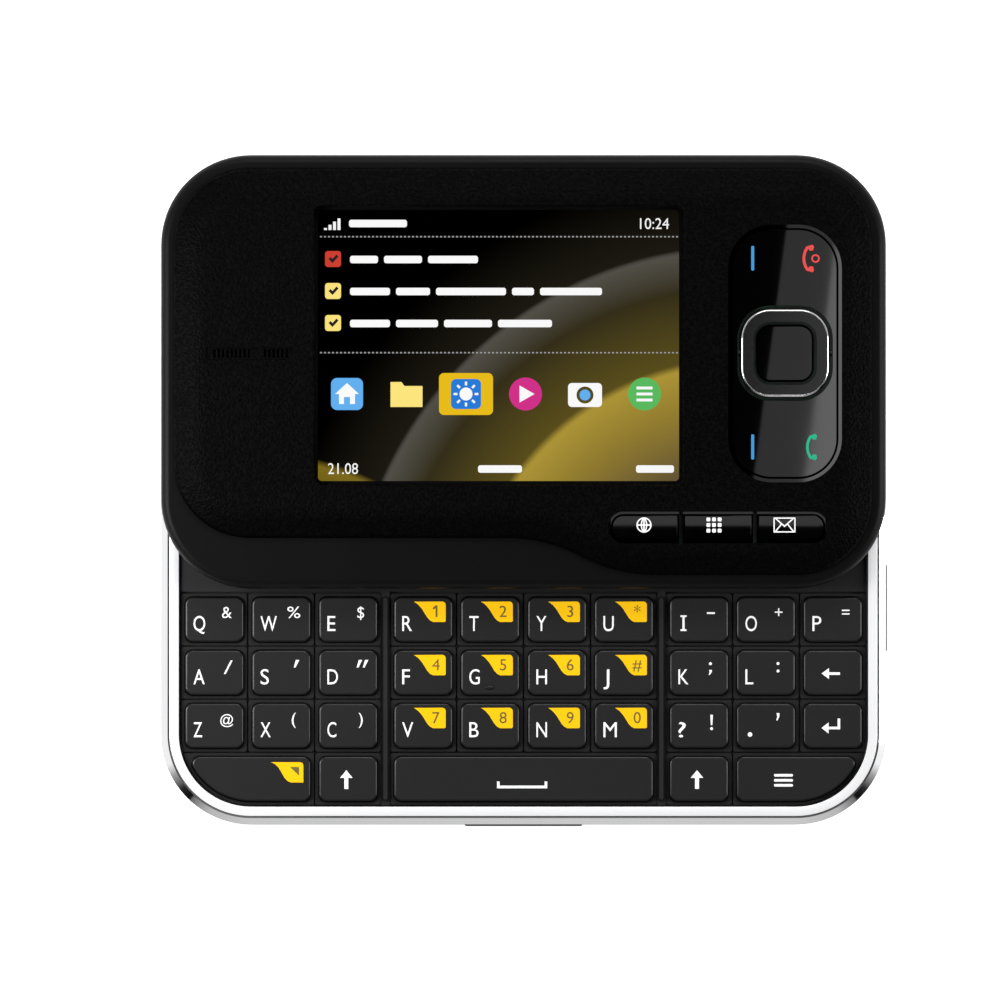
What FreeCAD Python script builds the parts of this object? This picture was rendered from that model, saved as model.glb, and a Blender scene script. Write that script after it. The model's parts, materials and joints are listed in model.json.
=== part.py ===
import FreeCAD, Part
import math
import os
import re

import Sketcher

# Side-slider phone, lying on its back and slid open.
# X runs to the right, Y up the page and Z towards the viewer.
# The origin is under the middle of the open phone, on the surface it lies on.
# The lower half (base) holds the letter keys, battery and board.
# The upper half (slider) holds the display and the call keys, and rides on two rails.

VECTOR = FreeCAD.Vector
UP = VECTOR(0, 0, 1)

SIZES = [
    ("case_width", 97.5, "width of both halves"),
    ("case_depth", 58.3, "the other side of both halves"),
    ("case_corner", 12.1, "corner radius of both halves"),
    ("slide_travel", 31.74, "how far the slider moves"),
    ("base_top", 9.0, "top of the bright frame"),
    ("slider_bottom", 9.2, "underside of the slider"),
    ("rim_top", 13.4, "top of the slider's rim"),
    ("phone_top", 15.5, "top of the front cover"),
    ("run_gap", 0.1, "clearance beside a moving key"),
    ("small_gap", 0.05, "clearance between neighbours that lie still"),
    ("shell_top", 3.0, "where the rear shell meets the frame"),
    ("shell_wall", 1.4, "wall of the rear shell"),
    ("shell_floor", 1.0, "floor of the rear shell"),
    ("shell_round", 2.4, "rounding round the back"),
    ("frame_wall", 2.4, "frame width seen from the front"),
    ("deck_ledge", 3.6, "inset of the ledge that holds the deck"),
    ("board_ledge", 4.8, "inset of the ledge that holds the board"),
    ("bevel_width", 0.9, "polished outer bevel of the frame"),
    ("bevel_drop", 0.6, "how far the bevel falls"),
    ("seam_width", 0.2, "groove between the frame's two bands"),
    ("seam_depth", 0.25, "depth of that groove"),
    ("board_bottom", 5.7, "underside of the main board"),
    ("board_inset", 4.0, "main board inside the case outline"),
    ("board_thickness", 0.8, "both circuit boards"),
    ("dome_height", 0.25, "metal dome switch"),
    ("dome_radius", 1.9, "metal dome switch"),
    ("deck_bottom", 6.85, "underside of the keyboard deck"),
    ("deck_floor", 7.25, "deck under the keys"),
    ("deck_top", 8.4, "deck beside the keys"),
    ("deck_gap", 0.2, "gap between deck and frame"),
    ("deck_front", -13.7, "front edge of the raised deck"),
    ("ridge_width", 0.55, "ridge between the key banks"),
    ("ridge_rise", 0.25, "height of that ridge"),
    ("key_pitch_x", 9.0, "letter key spacing across"),
    ("key_pitch_y", 7.145, "letter key spacing down"),
    ("keys_top", -13.88, "upper edge of the first key row"),
    ("bank_gap", 1.1, "gap between the three key banks"),
    ("key_seam", 0.2, "gap between two letter keys"),
    ("key_travel", 0.35, "letter key travel"),
    ("key_under", 7.65, "underside of a letter key"),
    ("key_plate", 0.65, "thickness of a key's flat plate"),
    ("plate_corner", 0.3, "corners of that plate"),
    ("key_margin_x", 0.45, "from cell edge to dome, across"),
    ("key_margin_y", 0.42, "from cell edge to dome, down"),
    ("key_dome", 0.6, "rise of a key's dome"),
    ("key_dome_corner", 1.15, "corner radius of a key's dome"),
    ("key_dome_round", 0.5, "rounding of the dome's top edge"),
    ("plunger_radius", 1.1, "post under a key"),
    ("plunger_hole", 1.5, "hole in the deck for that post"),
    ("battery_x", 7.0, "middle of the battery"),
    ("battery_length", 62.0, "battery"),
    ("battery_width", 44.0, "battery"),
    ("battery_height", 4.2, "battery"),
    ("battery_room", 0.3, "clearance round the battery"),
    ("bay_wall", 1.7, "wall of the battery bay"),
    ("bay_top", 5.5, "top of that wall"),
    ("bay_corner", 6.0, "outer corners of that wall"),
    ("battery_corner", 1.0, "battery"),
    ("lid_lap", 1.45, "how far the battery cover laps the bay"),
    ("lid_thickness", 0.9, "battery cover"),
    ("lid_corner", 5.5, "battery cover"),
    ("optics_x", -36.5, "middle of camera and loudspeaker"),
    ("camera_y", -6.0, "middle of the camera"),
    ("camera_radius", 3.6, "camera lens barrel"),
    ("camera_bottom", 0.2, "camera lens barrel, sunk into the back"),
    ("camera_body", 8.5, "camera sensor block"),
    ("camera_height", 4.2, "camera sensor block"),
    ("lens_radius", 2.4, "opening in front of the lens"),
    ("lens_depth", 0.5, "opening in front of the lens"),
    ("can_y", -16.0, "middle of the screening can"),
    ("can_length", 14.0, "screening can"),
    ("can_width", 7.0, "screening can"),
    ("can_height", 1.5, "screening can"),
    ("speaker_y", -26.0, "middle of the loudspeaker"),
    ("speaker_radius", 6.5, "loudspeaker"),
    ("speaker_height", 2.8, "loudspeaker"),
    ("magnet_radius", 4.5, "loudspeaker magnet"),
    ("magnet_height", 0.9, "loudspeaker magnet"),
    ("slot_length", 8.0, "loudspeaker slot"),
    ("slot_width", 0.8, "loudspeaker slot"),
    ("slot_pitch", 1.9, "loudspeaker slot spacing"),
    ("side_low", 5.1, "lower edge of the side keys"),
    ("side_high", 6.6, "upper edge of the side keys"),
    ("side_room", 0.4, "room behind a side key"),
    ("side_depth", 2.55, "depth of a side key's recess"),
    ("rocker_length", 15.9, "volume rocker"),
    ("rocker_proud", 0.2, "how far it stands out"),
    ("capture_length", 11.8, "capture key"),
    ("capture_y", -15.9, "middle of the capture key"),
    ("capture_proud", 0.15, "how far it stands out"),
    ("jack_radius", 1.05, "charging jack bore"),
    ("jack_length", 4.5, "charging jack bore"),
    ("jack_y", -30.0, "middle of the charging jack"),
    ("jack_height", 4.6, "middle of the charging jack"),
    ("rail_x", 35.5, "middle of a rail"),
    ("rail_low", -9.8, "front end of a rail"),
    ("rail_high", 10.4, "back end of a rail"),
    ("rail_stem", 2.0, "width of a rail's stem"),
    ("rail_head", 4.0, "width of a rail's head"),
    ("rail_head_bottom", 9.6, "underside of the head"),
    ("rail_head_top", 10.0, "top of the head"),
    ("carriage_top", 10.4, "top of the steel carriage"),
    ("carriage_half", 39.0, "half the carriage's width"),
    ("carriage_end", 0.7, "stop at each end of its slots"),
    ("window_half", 12.0, "half the spring window's width"),
    ("window_low", 6.0, "front edge of the spring window"),
    ("window_high", 41.5, "back edge of the spring window"),
    ("wire_radius", 0.25, "assist spring wire"),
    ("wire_height", 9.8, "middle of the spring wire"),
    ("post_radius", 0.6, "spring post"),
    ("spring_x", 9.65, "spring post, from the middle"),
    ("spring_low", 8.0, "spring post on the deck"),
    ("spring_turn", 1.6, "bend radius of the spring"),
    ("spring_run", 4.0, "half a straight run of the spring"),
    ("housing_floor", 11.0, "inner floor of the slider"),
    ("rim_round", 1.2, "rounding of the slider's rim"),
    ("rim_lower_round", 0.4, "rounding under the rim"),
    ("cavity_inset", 1.9, "slider wall inside the cover's outline"),
    ("cover_left", -47.07, "front cover outline"),
    ("cover_right", 46.93, "front cover outline"),
    ("cover_top", 43.2, "front cover outline"),
    ("cover_low_left", -6.49, "lower edge left of the wave"),
    ("cover_low_right", -11.46, "lower edge right of the wave"),
    ("cover_corner", 10.2, "front cover corners"),
    ("wave_start", -2.22, "where the wave leaves the left edge"),
    ("wave_radius", 21.7, "both arcs of the wave"),
    ("cover_ceiling", 14.0, "underside of the cover's skin"),
    ("cover_rim", 1.7, "width of the cover's foot"),
    ("pillow_width", 3.2, "soft edge of the cover"),
    ("pillow_drop", 1.5, "how far the soft edge falls"),
    ("pillow_upper_round", 5.0, "rounding where it meets the top"),
    ("pillow_lower_round", 0.8, "rounding above the rim"),
    ("screen_left", -28.07, "display window"),
    ("screen_right", 21.34, "display window"),
    ("screen_low", 0.76, "display window"),
    ("screen_high", 38.05, "display window"),
    ("screen_corner", 1.0, "display window"),
    ("glass_top", 15.3, "top of the display window"),
    ("flange_bottom", 13.3, "hidden flange under the cover"),
    ("flange_top", 13.9, "hidden flange under the cover"),
    ("flange_width", 0.7, "hidden flange under the cover"),
    ("display_bottom", 11.95, "display module"),
    ("display_top", 13.2, "display module"),
    ("display_border", 1.5, "display module beyond the window"),
    ("front_board_bottom", 11.1, "board behind the front keys"),
    ("front_board_inset", 3.4, "that board inside the cover's outline"),
    ("front_travel", 0.45, "travel of the select key together with its panel"),
    ("front_post_radius", 0.7, "posts under the front keys"),
    ("front_dome_radius", 1.4, "dome switches of the front keys"),
    ("panel_left", 27.97, "glossy key panel"),
    ("panel_right", 42.36, "glossy key panel"),
    ("panel_low", 1.45, "glossy key panel"),
    ("panel_high", 35.2, "glossy key panel"),
    ("panel_corner", 5.4, "glossy key panel"),
    ("panel_top", 15.25, "glossy key panel"),
    ("panel_gap", 0.45, "gap round the glossy panel"),
    ("panel_post_x", 4.6, "post under the panel, from its middle"),
    ("panel_post_y", 13.2, "post under the panel, from its middle"),
    ("navi_x", 35.18, "middle of the four-way ring"),
    ("navi_y", 18.36, "middle of the four-way ring"),
    ("ring_size", 11.95, "four-way ring"),
    ("ring_corner", 4.0, "four-way ring"),
    ("ring_hole", 8.5, "opening of the ring"),
    ("ring_hole_corner", 2.3, "opening of the ring"),
    ("ring_top", 15.45, "four-way ring"),
    ("ring_bevel", 0.3, "bright edge of the ring"),
    ("pivot_height", 13.8, "pins that the ring rocks on"),
    ("pivot_radius", 0.4, "pins that the ring rocks on"),
    ("pivot_length", 0.3, "pins beyond the ring"),
    ("pivot_grip", 0.5, "pins within the ring"),
    ("navi_key_size", 7.7, "select key"),
    ("navi_key_corner", 1.9, "select key"),
    ("navi_key_top", 15.4, "select key"),
    ("shortcut_low", -6.89, "shortcut keys"),
    ("shortcut_high", -3.26, "shortcut keys"),
    ("shortcut_left", 11.73, "first shortcut key"),
    ("shortcut_first", 20.91, "right edge of the first"),
    ("shortcut_second", 21.45, "left edge of the second"),
    ("shortcut_third", 30.86, "right edge of the second"),
    ("shortcut_fourth", 31.4, "left edge of the third"),
    ("shortcut_right", 40.61, "right edge of the third"),
    ("shortcut_top", 15.2, "shortcut keys"),
    ("shortcut_end", 1.7, "outer corners of the row"),
    ("shortcut_gap", 0.3, "gap round the row"),
    ("soft_edge", 0.3, "rounding of the front keys"),
    ("opening_edge", 0.2, "rounding of the cover's openings"),
    ("ear_left", -42.7, "earpiece recess"),
    ("ear_right", -31.1, "earpiece recess"),
    ("ear_low", 17.45, "earpiece recess"),
    ("ear_high", 19.2, "earpiece recess"),
    ("ear_depth", 0.25, "earpiece recess"),
    ("ear_length", 12.0, "earpiece capsule"),
    ("ear_width", 6.0, "earpiece capsule"),
    ("slit_width", 0.28, "earpiece slit"),
    ("slit_pitch", 0.58, "earpiece slit spacing"),
    ("slit_left", -41.7, "first slit of the left group"),
    ("slit_right", -34.9, "first slit of the right group"),
]

KEY_ROWS = [
    ["q", "w", "e", "r", "t", "y", "u", "i", "o", "p"],
    ["a", "s", "d", "f", "g", "h", "j", "k", "l", "erase"],
    ["z", "x", "c", "v", "b", "n", "m", "question", "period", "enter"],
]

doc = FreeCAD.newDocument("slider_phone")
sheet = doc.addObject("Spreadsheet::Sheet", "Sizes")
for row, (alias, number, note) in enumerate(SIZES, 1):
    sheet.set(f"A{row}", note)
    sheet.set(f"B{row}", str(number))
    sheet.setAlias(f"B{row}", alias)
doc.recompute()

ALIASES = {alias for alias, number, note in SIZES}
pieces = []


def bound(text):
    """The expression text with every named size pointed at the sheet."""
    return re.sub(r"[a-z][a-z_]*", lambda m: "Sizes." + m[0] if m[0] in ALIASES else m[0], text)


def value(text):
    """The present value of an expression of named sizes."""
    return float(sheet.evalExpression(str(text)))


def new_piece(label):
    body = doc.addObject("PartDesign::Body", label)
    body.Label = label
    pieces.append(body)
    return body


def new_sketch(body, name, height="0", plane="XY_Plane"):
    """A sketch on one of the body's own planes, moved along that plane's normal."""
    sketch = body.newObject("Sketcher::SketchObject", name)
    origin = [f for f in body.Origin.OriginFeatures if f.Role == plane][0]
    sketch.AttachmentSupport = [(origin, "")]
    sketch.MapMode = "FlatFace"
    sketch.setExpression("AttachmentOffset.Base.z", bound(height))
    doc.recompute()
    return sketch


def hold(sketch, kind, where, text):
    """Adds one dimension to a sketch and binds it to the sheet."""
    number = sketch.addConstraint(Sketcher.Constraint(kind, *where, value(text)))
    sketch.setExpression(f"Constraints[{number}]", bound(text))


def hold_point(sketch, edge, end, x_text, y_text):
    hold(sketch, "DistanceX", (-1, 1, edge, end), x_text)
    hold(sketch, "DistanceY", (-1, 1, edge, end), y_text)


def line(x0, y0, x1, y1):
    return Part.LineSegment(VECTOR(x0, y0, 0), VECTOR(x1, y1, 0))


def arc(x, y, radius, start, end):
    circle = Part.Circle(VECTOR(x, y, 0), UP, radius)
    return Part.ArcOfCircle(circle, math.radians(start), math.radians(end))


def rectangle(sketch, left, right, low, high):
    """A sharp rectangle between four bound sides."""
    x0, x1, y0, y1 = (value(text) for text in (left, right, low, high))
    corners = [(x0, y0), (x1, y0), (x1, y1), (x0, y1)]
    edges = []
    for start, end in zip(corners, corners[1:] + corners[:1]):
        edges.append(sketch.addGeometry(line(*start, *end), False))
    for number, edge in enumerate(edges):
        following = edges[(number + 1) % 4]
        sketch.addConstraint(Sketcher.Constraint("Coincident", edge, 2, following, 1))
        direction = "Vertical" if number % 2 else "Horizontal"
        sketch.addConstraint(Sketcher.Constraint(direction, edge))
    hold_point(sketch, edges[0], 1, left, low)
    hold_point(sketch, edges[2], 1, right, high)


def rounded_rectangle(sketch, left, right, low, high, radius):
    """A rectangle with four equal round corners, its sides bound."""
    x0, x1, y0, y1, r = (value(text) for text in (left, right, low, high, radius))
    shapes = [
        line(x0 + r, y0, x1 - r, y0),
        arc(x1 - r, y0 + r, r, 270, 360),
        line(x1, y0 + r, x1, y1 - r),
        arc(x1 - r, y1 - r, r, 0, 90),
        line(x1 - r, y1, x0 + r, y1),
        arc(x0 + r, y1 - r, r, 90, 180),
        line(x0, y1 - r, x0, y0 + r),
        arc(x0 + r, y0 + r, r, 180, 270),
    ]
    edges = [sketch.addGeometry(shape, False) for shape in shapes]
    for number, edge in enumerate(edges):
        following = edges[(number + 1) % 8]
        sketch.addConstraint(Sketcher.Constraint("Tangent", edge, 2, following, 1))
        if number % 2:
            hold(sketch, "Radius", (edge,), radius)
        else:
            direction = "Vertical" if number % 4 else "Horizontal"
            sketch.addConstraint(Sketcher.Constraint(direction, edge))
    hold(sketch, "DistanceX", (-1, 1, edges[6], 1), left)
    hold(sketch, "DistanceX", (-1, 1, edges[2], 1), right)
    hold(sketch, "DistanceY", (-1, 1, edges[0], 1), low)
    hold(sketch, "DistanceY", (-1, 1, edges[4], 1), high)


def centred(sketch, x_text, y_text, length, width, radius):
    """A round-cornered rectangle about a bound middle."""
    rounded_rectangle(
        sketch,
        f"{x_text} - ({length}) / 2",
        f"{x_text} + ({length}) / 2",
        f"{y_text} - ({width}) / 2",
        f"{y_text} + ({width}) / 2",
        radius,
    )


def circle(sketch, x_text, y_text, radius):
    shape = Part.Circle(VECTOR(value(x_text), value(y_text), 0), UP, value(radius))
    edge = sketch.addGeometry(shape, False)
    hold(sketch, "Radius", (edge,), radius)
    hold_point(sketch, edge, 3, x_text, y_text)


def case_outline(sketch, half, inset="0"):
    """The outline that both halves share. Half is -1 for the base and 1 for the slider."""
    centred(
        sketch,
        "0",
        f"{half} * slide_travel / 2",
        f"case_width - 2 * ({inset})",
        f"case_depth - 2 * ({inset})",
        f"case_corner - ({inset})",
    )


def cover_outline(sketch, inset="0"):
    """The front cover's outline, whose lower edge steps down in a wave of two arcs."""
    left = f"cover_left + {inset}"
    right = f"cover_right - {inset}"
    top = f"cover_top - {inset}"
    low_left = f"cover_low_left + {inset}"
    low_right = f"cover_low_right + {inset}"
    corner = f"cover_corner - {inset}"
    x0, x1, y2, y0, y1, r, start = (
        value(text) for text in (left, right, top, low_left, low_right, corner, "wave_start")
    )
    outer = value(f"wave_radius + {inset}")
    inner = value(f"wave_radius - {inset}")
    turn = math.degrees(math.acos(1 - (y0 - y1) / (outer + inner)))
    end = start + (outer + inner) * math.sin(math.radians(turn))
    shapes = [
        line(x0 + r, y0, start, y0),
        arc(start, y0 - outer, outer, 90 - turn, 90),
        arc(end, y1 + inner, inner, 270 - turn, 270),
        line(end, y1, x1 - r, y1),
        arc(x1 - r, y1 + r, r, 270, 360),
        line(x1, y1 + r, x1, y2 - r),
        arc(x1 - r, y2 - r, r, 0, 90),
        line(x1 - r, y2, x0 + r, y2),
        arc(x0 + r, y2 - r, r, 90, 180),
        line(x0, y2 - r, x0, y0 + r),
        arc(x0 + r, y0 + r, r, 180, 270),
    ]
    edges = [sketch.addGeometry(shape, False) for shape in shapes]
    ends = [(2, 1)] * len(edges)
    ends[0] = (2, 2)
    ends[1] = (1, 1)
    for number, edge in enumerate(edges):
        following = edges[(number + 1) % len(edges)]
        sketch.addConstraint(
            Sketcher.Constraint("Tangent", edge, ends[number][0], following, ends[number][1])
        )
    for number in (0, 3, 7):
        sketch.addConstraint(Sketcher.Constraint("Horizontal", edges[number]))
    for number in (5, 9):
        sketch.addConstraint(Sketcher.Constraint("Vertical", edges[number]))
    for number in (4, 6, 8, 10):
        hold(sketch, "Radius", (edges[number],), corner)
    hold(sketch, "Radius", (edges[1],), f"wave_radius + {inset}")
    hold(sketch, "Radius", (edges[2],), f"wave_radius - {inset}")
    hold_point(sketch, edges[0], 2, "wave_start", low_left)
    hold(sketch, "DistanceY", (-1, 1, edges[3], 1), low_right)
    hold(sketch, "DistanceX", (-1, 1, edges[5], 1), right)
    hold(sketch, "DistanceY", (-1, 1, edges[7], 1), top)
    hold(sketch, "DistanceX", (-1, 1, edges[9], 1), left)


def pad(body, sketch, length):
    """Adds material from a sketch along its normal."""
    feature = body.newObject("PartDesign::Pad", f"{sketch.Name}_pad")
    feature.Profile = sketch
    feature.setExpression("Length", bound(length))
    doc.recompute()
    return feature


def pocket(body, sketch, length, along_normal=True):
    """Cuts from a sketch, and makes sure that something was cut."""
    before = body.Tip.Shape.Volume
    feature = body.newObject("PartDesign::Pocket", f"{sketch.Name}_cut")
    feature.Profile = sketch
    feature.Reversed = along_normal
    feature.setExpression("Length", bound(length))
    doc.recompute()
    if feature.Shape.Volume >= before - 1e-6:
        raise RuntimeError(f"{body.Label}: {sketch.Name} cuts nothing")
    return feature


def edges_where(shape, test):
    """The names of the edges whose box passes a test."""
    return [f"Edge{n}" for n, edge in enumerate(shape.Edges, 1) if test(edge.BoundBox, edge)]


def near(a, b):
    return abs(a - b) < 1e-4


def outer_edges(feature, height):
    """The names of the edges round the outside of the flat face at one height."""
    level = value(height)
    faces = [f for f in feature.Shape.Faces if near(f.BoundBox.ZMin, level) and near(f.BoundBox.ZMax, level)]
    widest = max(faces, key=lambda f: f.BoundBox.DiagonalLength)
    rim = widest.OuterWire.Edges
    return [
        f"Edge{n}" for n, edge in enumerate(feature.Shape.Edges, 1) if any(edge.isSame(e) for e in rim)
    ]


def fillet(body, base, names, radius):
    feature = body.newObject("PartDesign::Fillet", f"{base.Name}_round")
    feature.Base = (base, names)
    feature.setExpression("Radius", bound(radius))
    doc.recompute()
    return feature


def bevel(body, base, names, down, across):
    """A slope that falls by one size over the width of another."""
    feature = body.newObject("PartDesign::Chamfer", f"{base.Name}_bevel")
    feature.Base = (base, names)
    feature.ChamferType = "Two distances"
    feature.setExpression("Size", bound(down))
    feature.setExpression("Size2", bound(across))
    doc.recompute()
    return feature


def repeat(body, feature, pitch, count, axis="X_Axis"):
    """A straight row of copies of one feature."""
    pattern = body.newObject("PartDesign::LinearPattern", f"{feature.Name}_row")
    pattern.Originals = [feature]
    direction = [f for f in body.Origin.OriginFeatures if f.Role == axis][0]
    pattern.Direction = (direction, [""])
    pattern.Mode = "Spacing"
    pattern.setExpression("Offset", bound(pitch))
    pattern.Occurrences = count
    body.Tip = pattern
    doc.recompute()
    return pattern


def key_cells():
    """Each letter key as its name, its left and right edges, and its row."""
    banks = [0, 0, 0, 1, 1, 1, 1, 2, 2, 2]
    cells = []
    for row, names in enumerate(KEY_ROWS):
        for column, name in enumerate(names):
            left = f"({column - 5} * key_pitch_x + {banks[column] - 1} * bank_gap)"
            cells.append((name, left, f"({left} + key_pitch_x)", row))
    outer = "(3 * key_pitch_x + bank_gap)"
    cells.append(("shift_left", f"(-{outer})", "(-2 * key_pitch_x - bank_gap)", 3))
    cells.append(("space", "(-2 * key_pitch_x)", "(2 * key_pitch_x)", 3))
    cells.append(("shift_right", "(2 * key_pitch_x + bank_gap)", f"{outer}", 3))
    return cells


BASE_Y = "-slide_travel / 2"
CORNER_X = "(case_width / 2 - case_corner)"
CORNER_Y = "(-slide_travel / 2 - case_depth / 2 + case_corner)"
BASE_FRONT = "(-slide_travel / 2 - case_depth / 2)"
BOARD_TOP = "(board_bottom + board_thickness)"
POST_LENGTH = f"(key_under - {BOARD_TOP} - dome_height - key_travel - small_gap)"
BAY_INSIDE = "2 * battery_room"
LID_SIZE = "2 * (battery_room + lid_lap)"
CARRIAGE_LOW = "(rail_low - run_gap - carriage_end)"
CARRIAGE_HIGH = "(rail_high + slide_travel + run_gap + carriage_end)"
SPRING_HIGH = "(spring_low + 8 * spring_turn)"
PANEL_X = "((panel_left + panel_right) / 2)"
PANEL_Y = "((panel_low + panel_high) / 2)"
FRONT_BOARD_TOP = "(front_board_bottom + board_thickness)"
FRONT_POST_BOTTOM = f"({FRONT_BOARD_TOP} + dome_height + front_travel + small_gap)"
SHORTCUT_Y = "((shortcut_low + shortcut_high) / 2)"
SHORTCUTS = [
    ("web", "shortcut_left", "shortcut_first"),
    ("menu", "shortcut_second", "shortcut_third"),
    ("mail", "shortcut_fourth", "shortcut_right"),
]


def row_middle(row):
    return f"(keys_top - ({row} + 0.5) * key_pitch_y)"


def make_rear_shell():
    body = new_piece("rear_shell")
    outline = new_sketch(body, "shell_outline")
    case_outline(outline, -1)
    block = pad(body, outline, "shell_top")
    fillet(body, block, outer_edges(block, "0"), "shell_round")
    room = new_sketch(body, "shell_room", "shell_floor")
    case_outline(room, -1, "shell_wall")
    pocket(body, room, "shell_top - shell_floor")
    wall = new_sketch(body, "bay_outside", "shell_floor")
    size = "2 * (battery_room + bay_wall)"
    centred(wall, "battery_x", BASE_Y, f"battery_length + {size}", f"battery_width + {size}", "bay_corner")
    pad(body, wall, "bay_top - shell_floor")
    inside = new_sketch(body, "bay_inside")
    length = f"battery_length + {BAY_INSIDE}"
    width = f"battery_width + {BAY_INSIDE}"
    centred(inside, "battery_x", BASE_Y, length, width, "battery_corner")
    pocket(body, inside, "bay_top")
    seat = new_sketch(body, "lid_seat")
    length = f"battery_length + {LID_SIZE} + 2 * run_gap"
    width = f"battery_width + {LID_SIZE} + 2 * run_gap"
    centred(seat, "battery_x", BASE_Y, length, width, "lid_corner")
    pocket(body, seat, "lid_thickness + small_gap")
    camera = new_sketch(body, "camera_hole")
    circle(camera, "optics_x", "camera_y", "camera_radius + run_gap")
    pocket(body, camera, "shell_floor")
    slot = new_sketch(body, "speaker_slot")
    low = "(speaker_y - 2 * slot_pitch)"
    centred(slot, "optics_x", low, "slot_length", "slot_width", "slot_width / 2 - small_gap")
    first = pocket(body, slot, "shell_floor")
    repeat(body, first, "slot_pitch", 5, "Y_Axis")


def make_base_frame():
    body = new_piece("base_frame")
    outline = new_sketch(body, "frame_outline", "shell_top")
    case_outline(outline, -1)
    block = pad(body, outline, "base_top - shell_top")
    bevel(body, block, outer_edges(block, "base_top"), "bevel_drop", "bevel_width")
    steps = [
        ("deck_room", "deck_bottom", "base_top", "frame_wall"),
        ("board_room", "board_bottom", "deck_bottom", "deck_ledge"),
        ("battery_room_cut", "shell_top", "board_bottom", "board_ledge"),
    ]
    for name, low, high, inset in steps:
        room = new_sketch(body, name, low)
        case_outline(room, -1, inset)
        pocket(body, room, f"{high} - {low}")
    seam = new_sketch(body, "frame_seam", "base_top - seam_depth")
    case_outline(seam, -1, "bevel_width + small_gap")
    case_outline(seam, -1, "bevel_width + small_gap + seam_width")
    pocket(body, seam, "seam_depth")
    recess = new_sketch(body, "rocker_recess", "side_low - run_gap")
    half = "(rocker_length / 2 + run_gap)"
    rectangle(recess, f"-{half}", half, f"{BASE_FRONT} - 1", f"{BASE_FRONT} + side_depth")
    pocket(body, recess, "side_high - side_low + 2 * run_gap")
    recess = new_sketch(body, "capture_recess", "side_low - run_gap")
    half = "(capture_length / 2 + run_gap)"
    inner = "case_width / 2 - side_depth"
    rectangle(recess, inner, "case_width / 2 + 1", f"capture_y - {half}", f"capture_y + {half}")
    pocket(body, recess, "side_high - side_low + 2 * run_gap")
    jack = new_sketch(body, "charging_jack", "-case_width / 2", "YZ_Plane")
    circle(jack, "jack_y", "jack_height", "jack_radius")
    pocket(body, jack, "jack_length")


def make_battery():
    body = new_piece("battery")
    outline = new_sketch(body, "battery_outline", "lid_thickness + small_gap")
    centred(outline, "battery_x", BASE_Y, "battery_length", "battery_width", "battery_corner")
    block = pad(body, outline, "battery_height")
    fillet(body, block, outer_edges(block, "lid_thickness + small_gap"), "soft_edge")


def make_battery_cover():
    body = new_piece("battery_cover")
    outline = new_sketch(body, "lid_outline")
    length = f"battery_length + {LID_SIZE}"
    width = f"battery_width + {LID_SIZE}"
    centred(outline, "battery_x", BASE_Y, length, width, "lid_corner")
    block = pad(body, outline, "lid_thickness")
    fillet(body, block, outer_edges(block, "0"), "opening_edge")
    grip = new_sketch(body, "thumb_grip")
    middle = "(battery_x - battery_length / 2 + 2 * slot_pitch)"
    centred(grip, middle, BASE_Y, "2 * slot_width", "slot_length", "slot_width - small_gap")
    pocket(body, grip, "soft_edge")


def make_camera_module():
    body = new_piece("camera_module")
    barrel = new_sketch(body, "camera_barrel", "camera_bottom")
    circle(barrel, "optics_x", "camera_y", "camera_radius")
    pad(body, barrel, "shell_floor + small_gap - camera_bottom")
    block = new_sketch(body, "camera_block", "shell_floor + small_gap")
    centred(block, "optics_x", "camera_y", "camera_body", "camera_body", "battery_corner")
    pad(body, block, "camera_height")
    lens = new_sketch(body, "camera_opening", "camera_bottom")
    circle(lens, "optics_x", "camera_y", "lens_radius")
    pocket(body, lens, "lens_depth")


def make_loudspeaker():
    body = new_piece("loudspeaker")
    basket = new_sketch(body, "speaker_basket", "shell_floor + small_gap")
    circle(basket, "optics_x", "speaker_y", "speaker_radius")
    pad(body, basket, "speaker_height")
    magnet = new_sketch(body, "speaker_magnet", "shell_floor + small_gap + speaker_height")
    circle(magnet, "optics_x", "speaker_y", "magnet_radius")
    pad(body, magnet, "magnet_height")


def key_middles():
    """The middle of every letter key, the two corner keys included."""
    middles = [(f"({left} + {right}) / 2", row_middle(row)) for name, left, right, row in key_cells()]
    for side in (-1, 1):
        middles.append((f"{side} * (4 * key_pitch_x + bank_gap)", row_middle(3)))
    return middles


def make_main_board():
    body = new_piece("main_board")
    outline = new_sketch(body, "board_outline", "board_bottom")
    case_outline(outline, -1, "board_inset")
    pad(body, outline, "board_thickness")
    domes = new_sketch(body, "key_domes", BOARD_TOP)
    for x_text, y_text in key_middles():
        circle(domes, x_text, y_text, "dome_radius")
    pad(body, domes, "dome_height")
    can = new_sketch(body, "screening_can", "board_bottom - can_height")
    centred(can, "optics_x", "can_y", "can_length", "can_width", "battery_corner")
    pad(body, can, "can_height")


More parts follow.
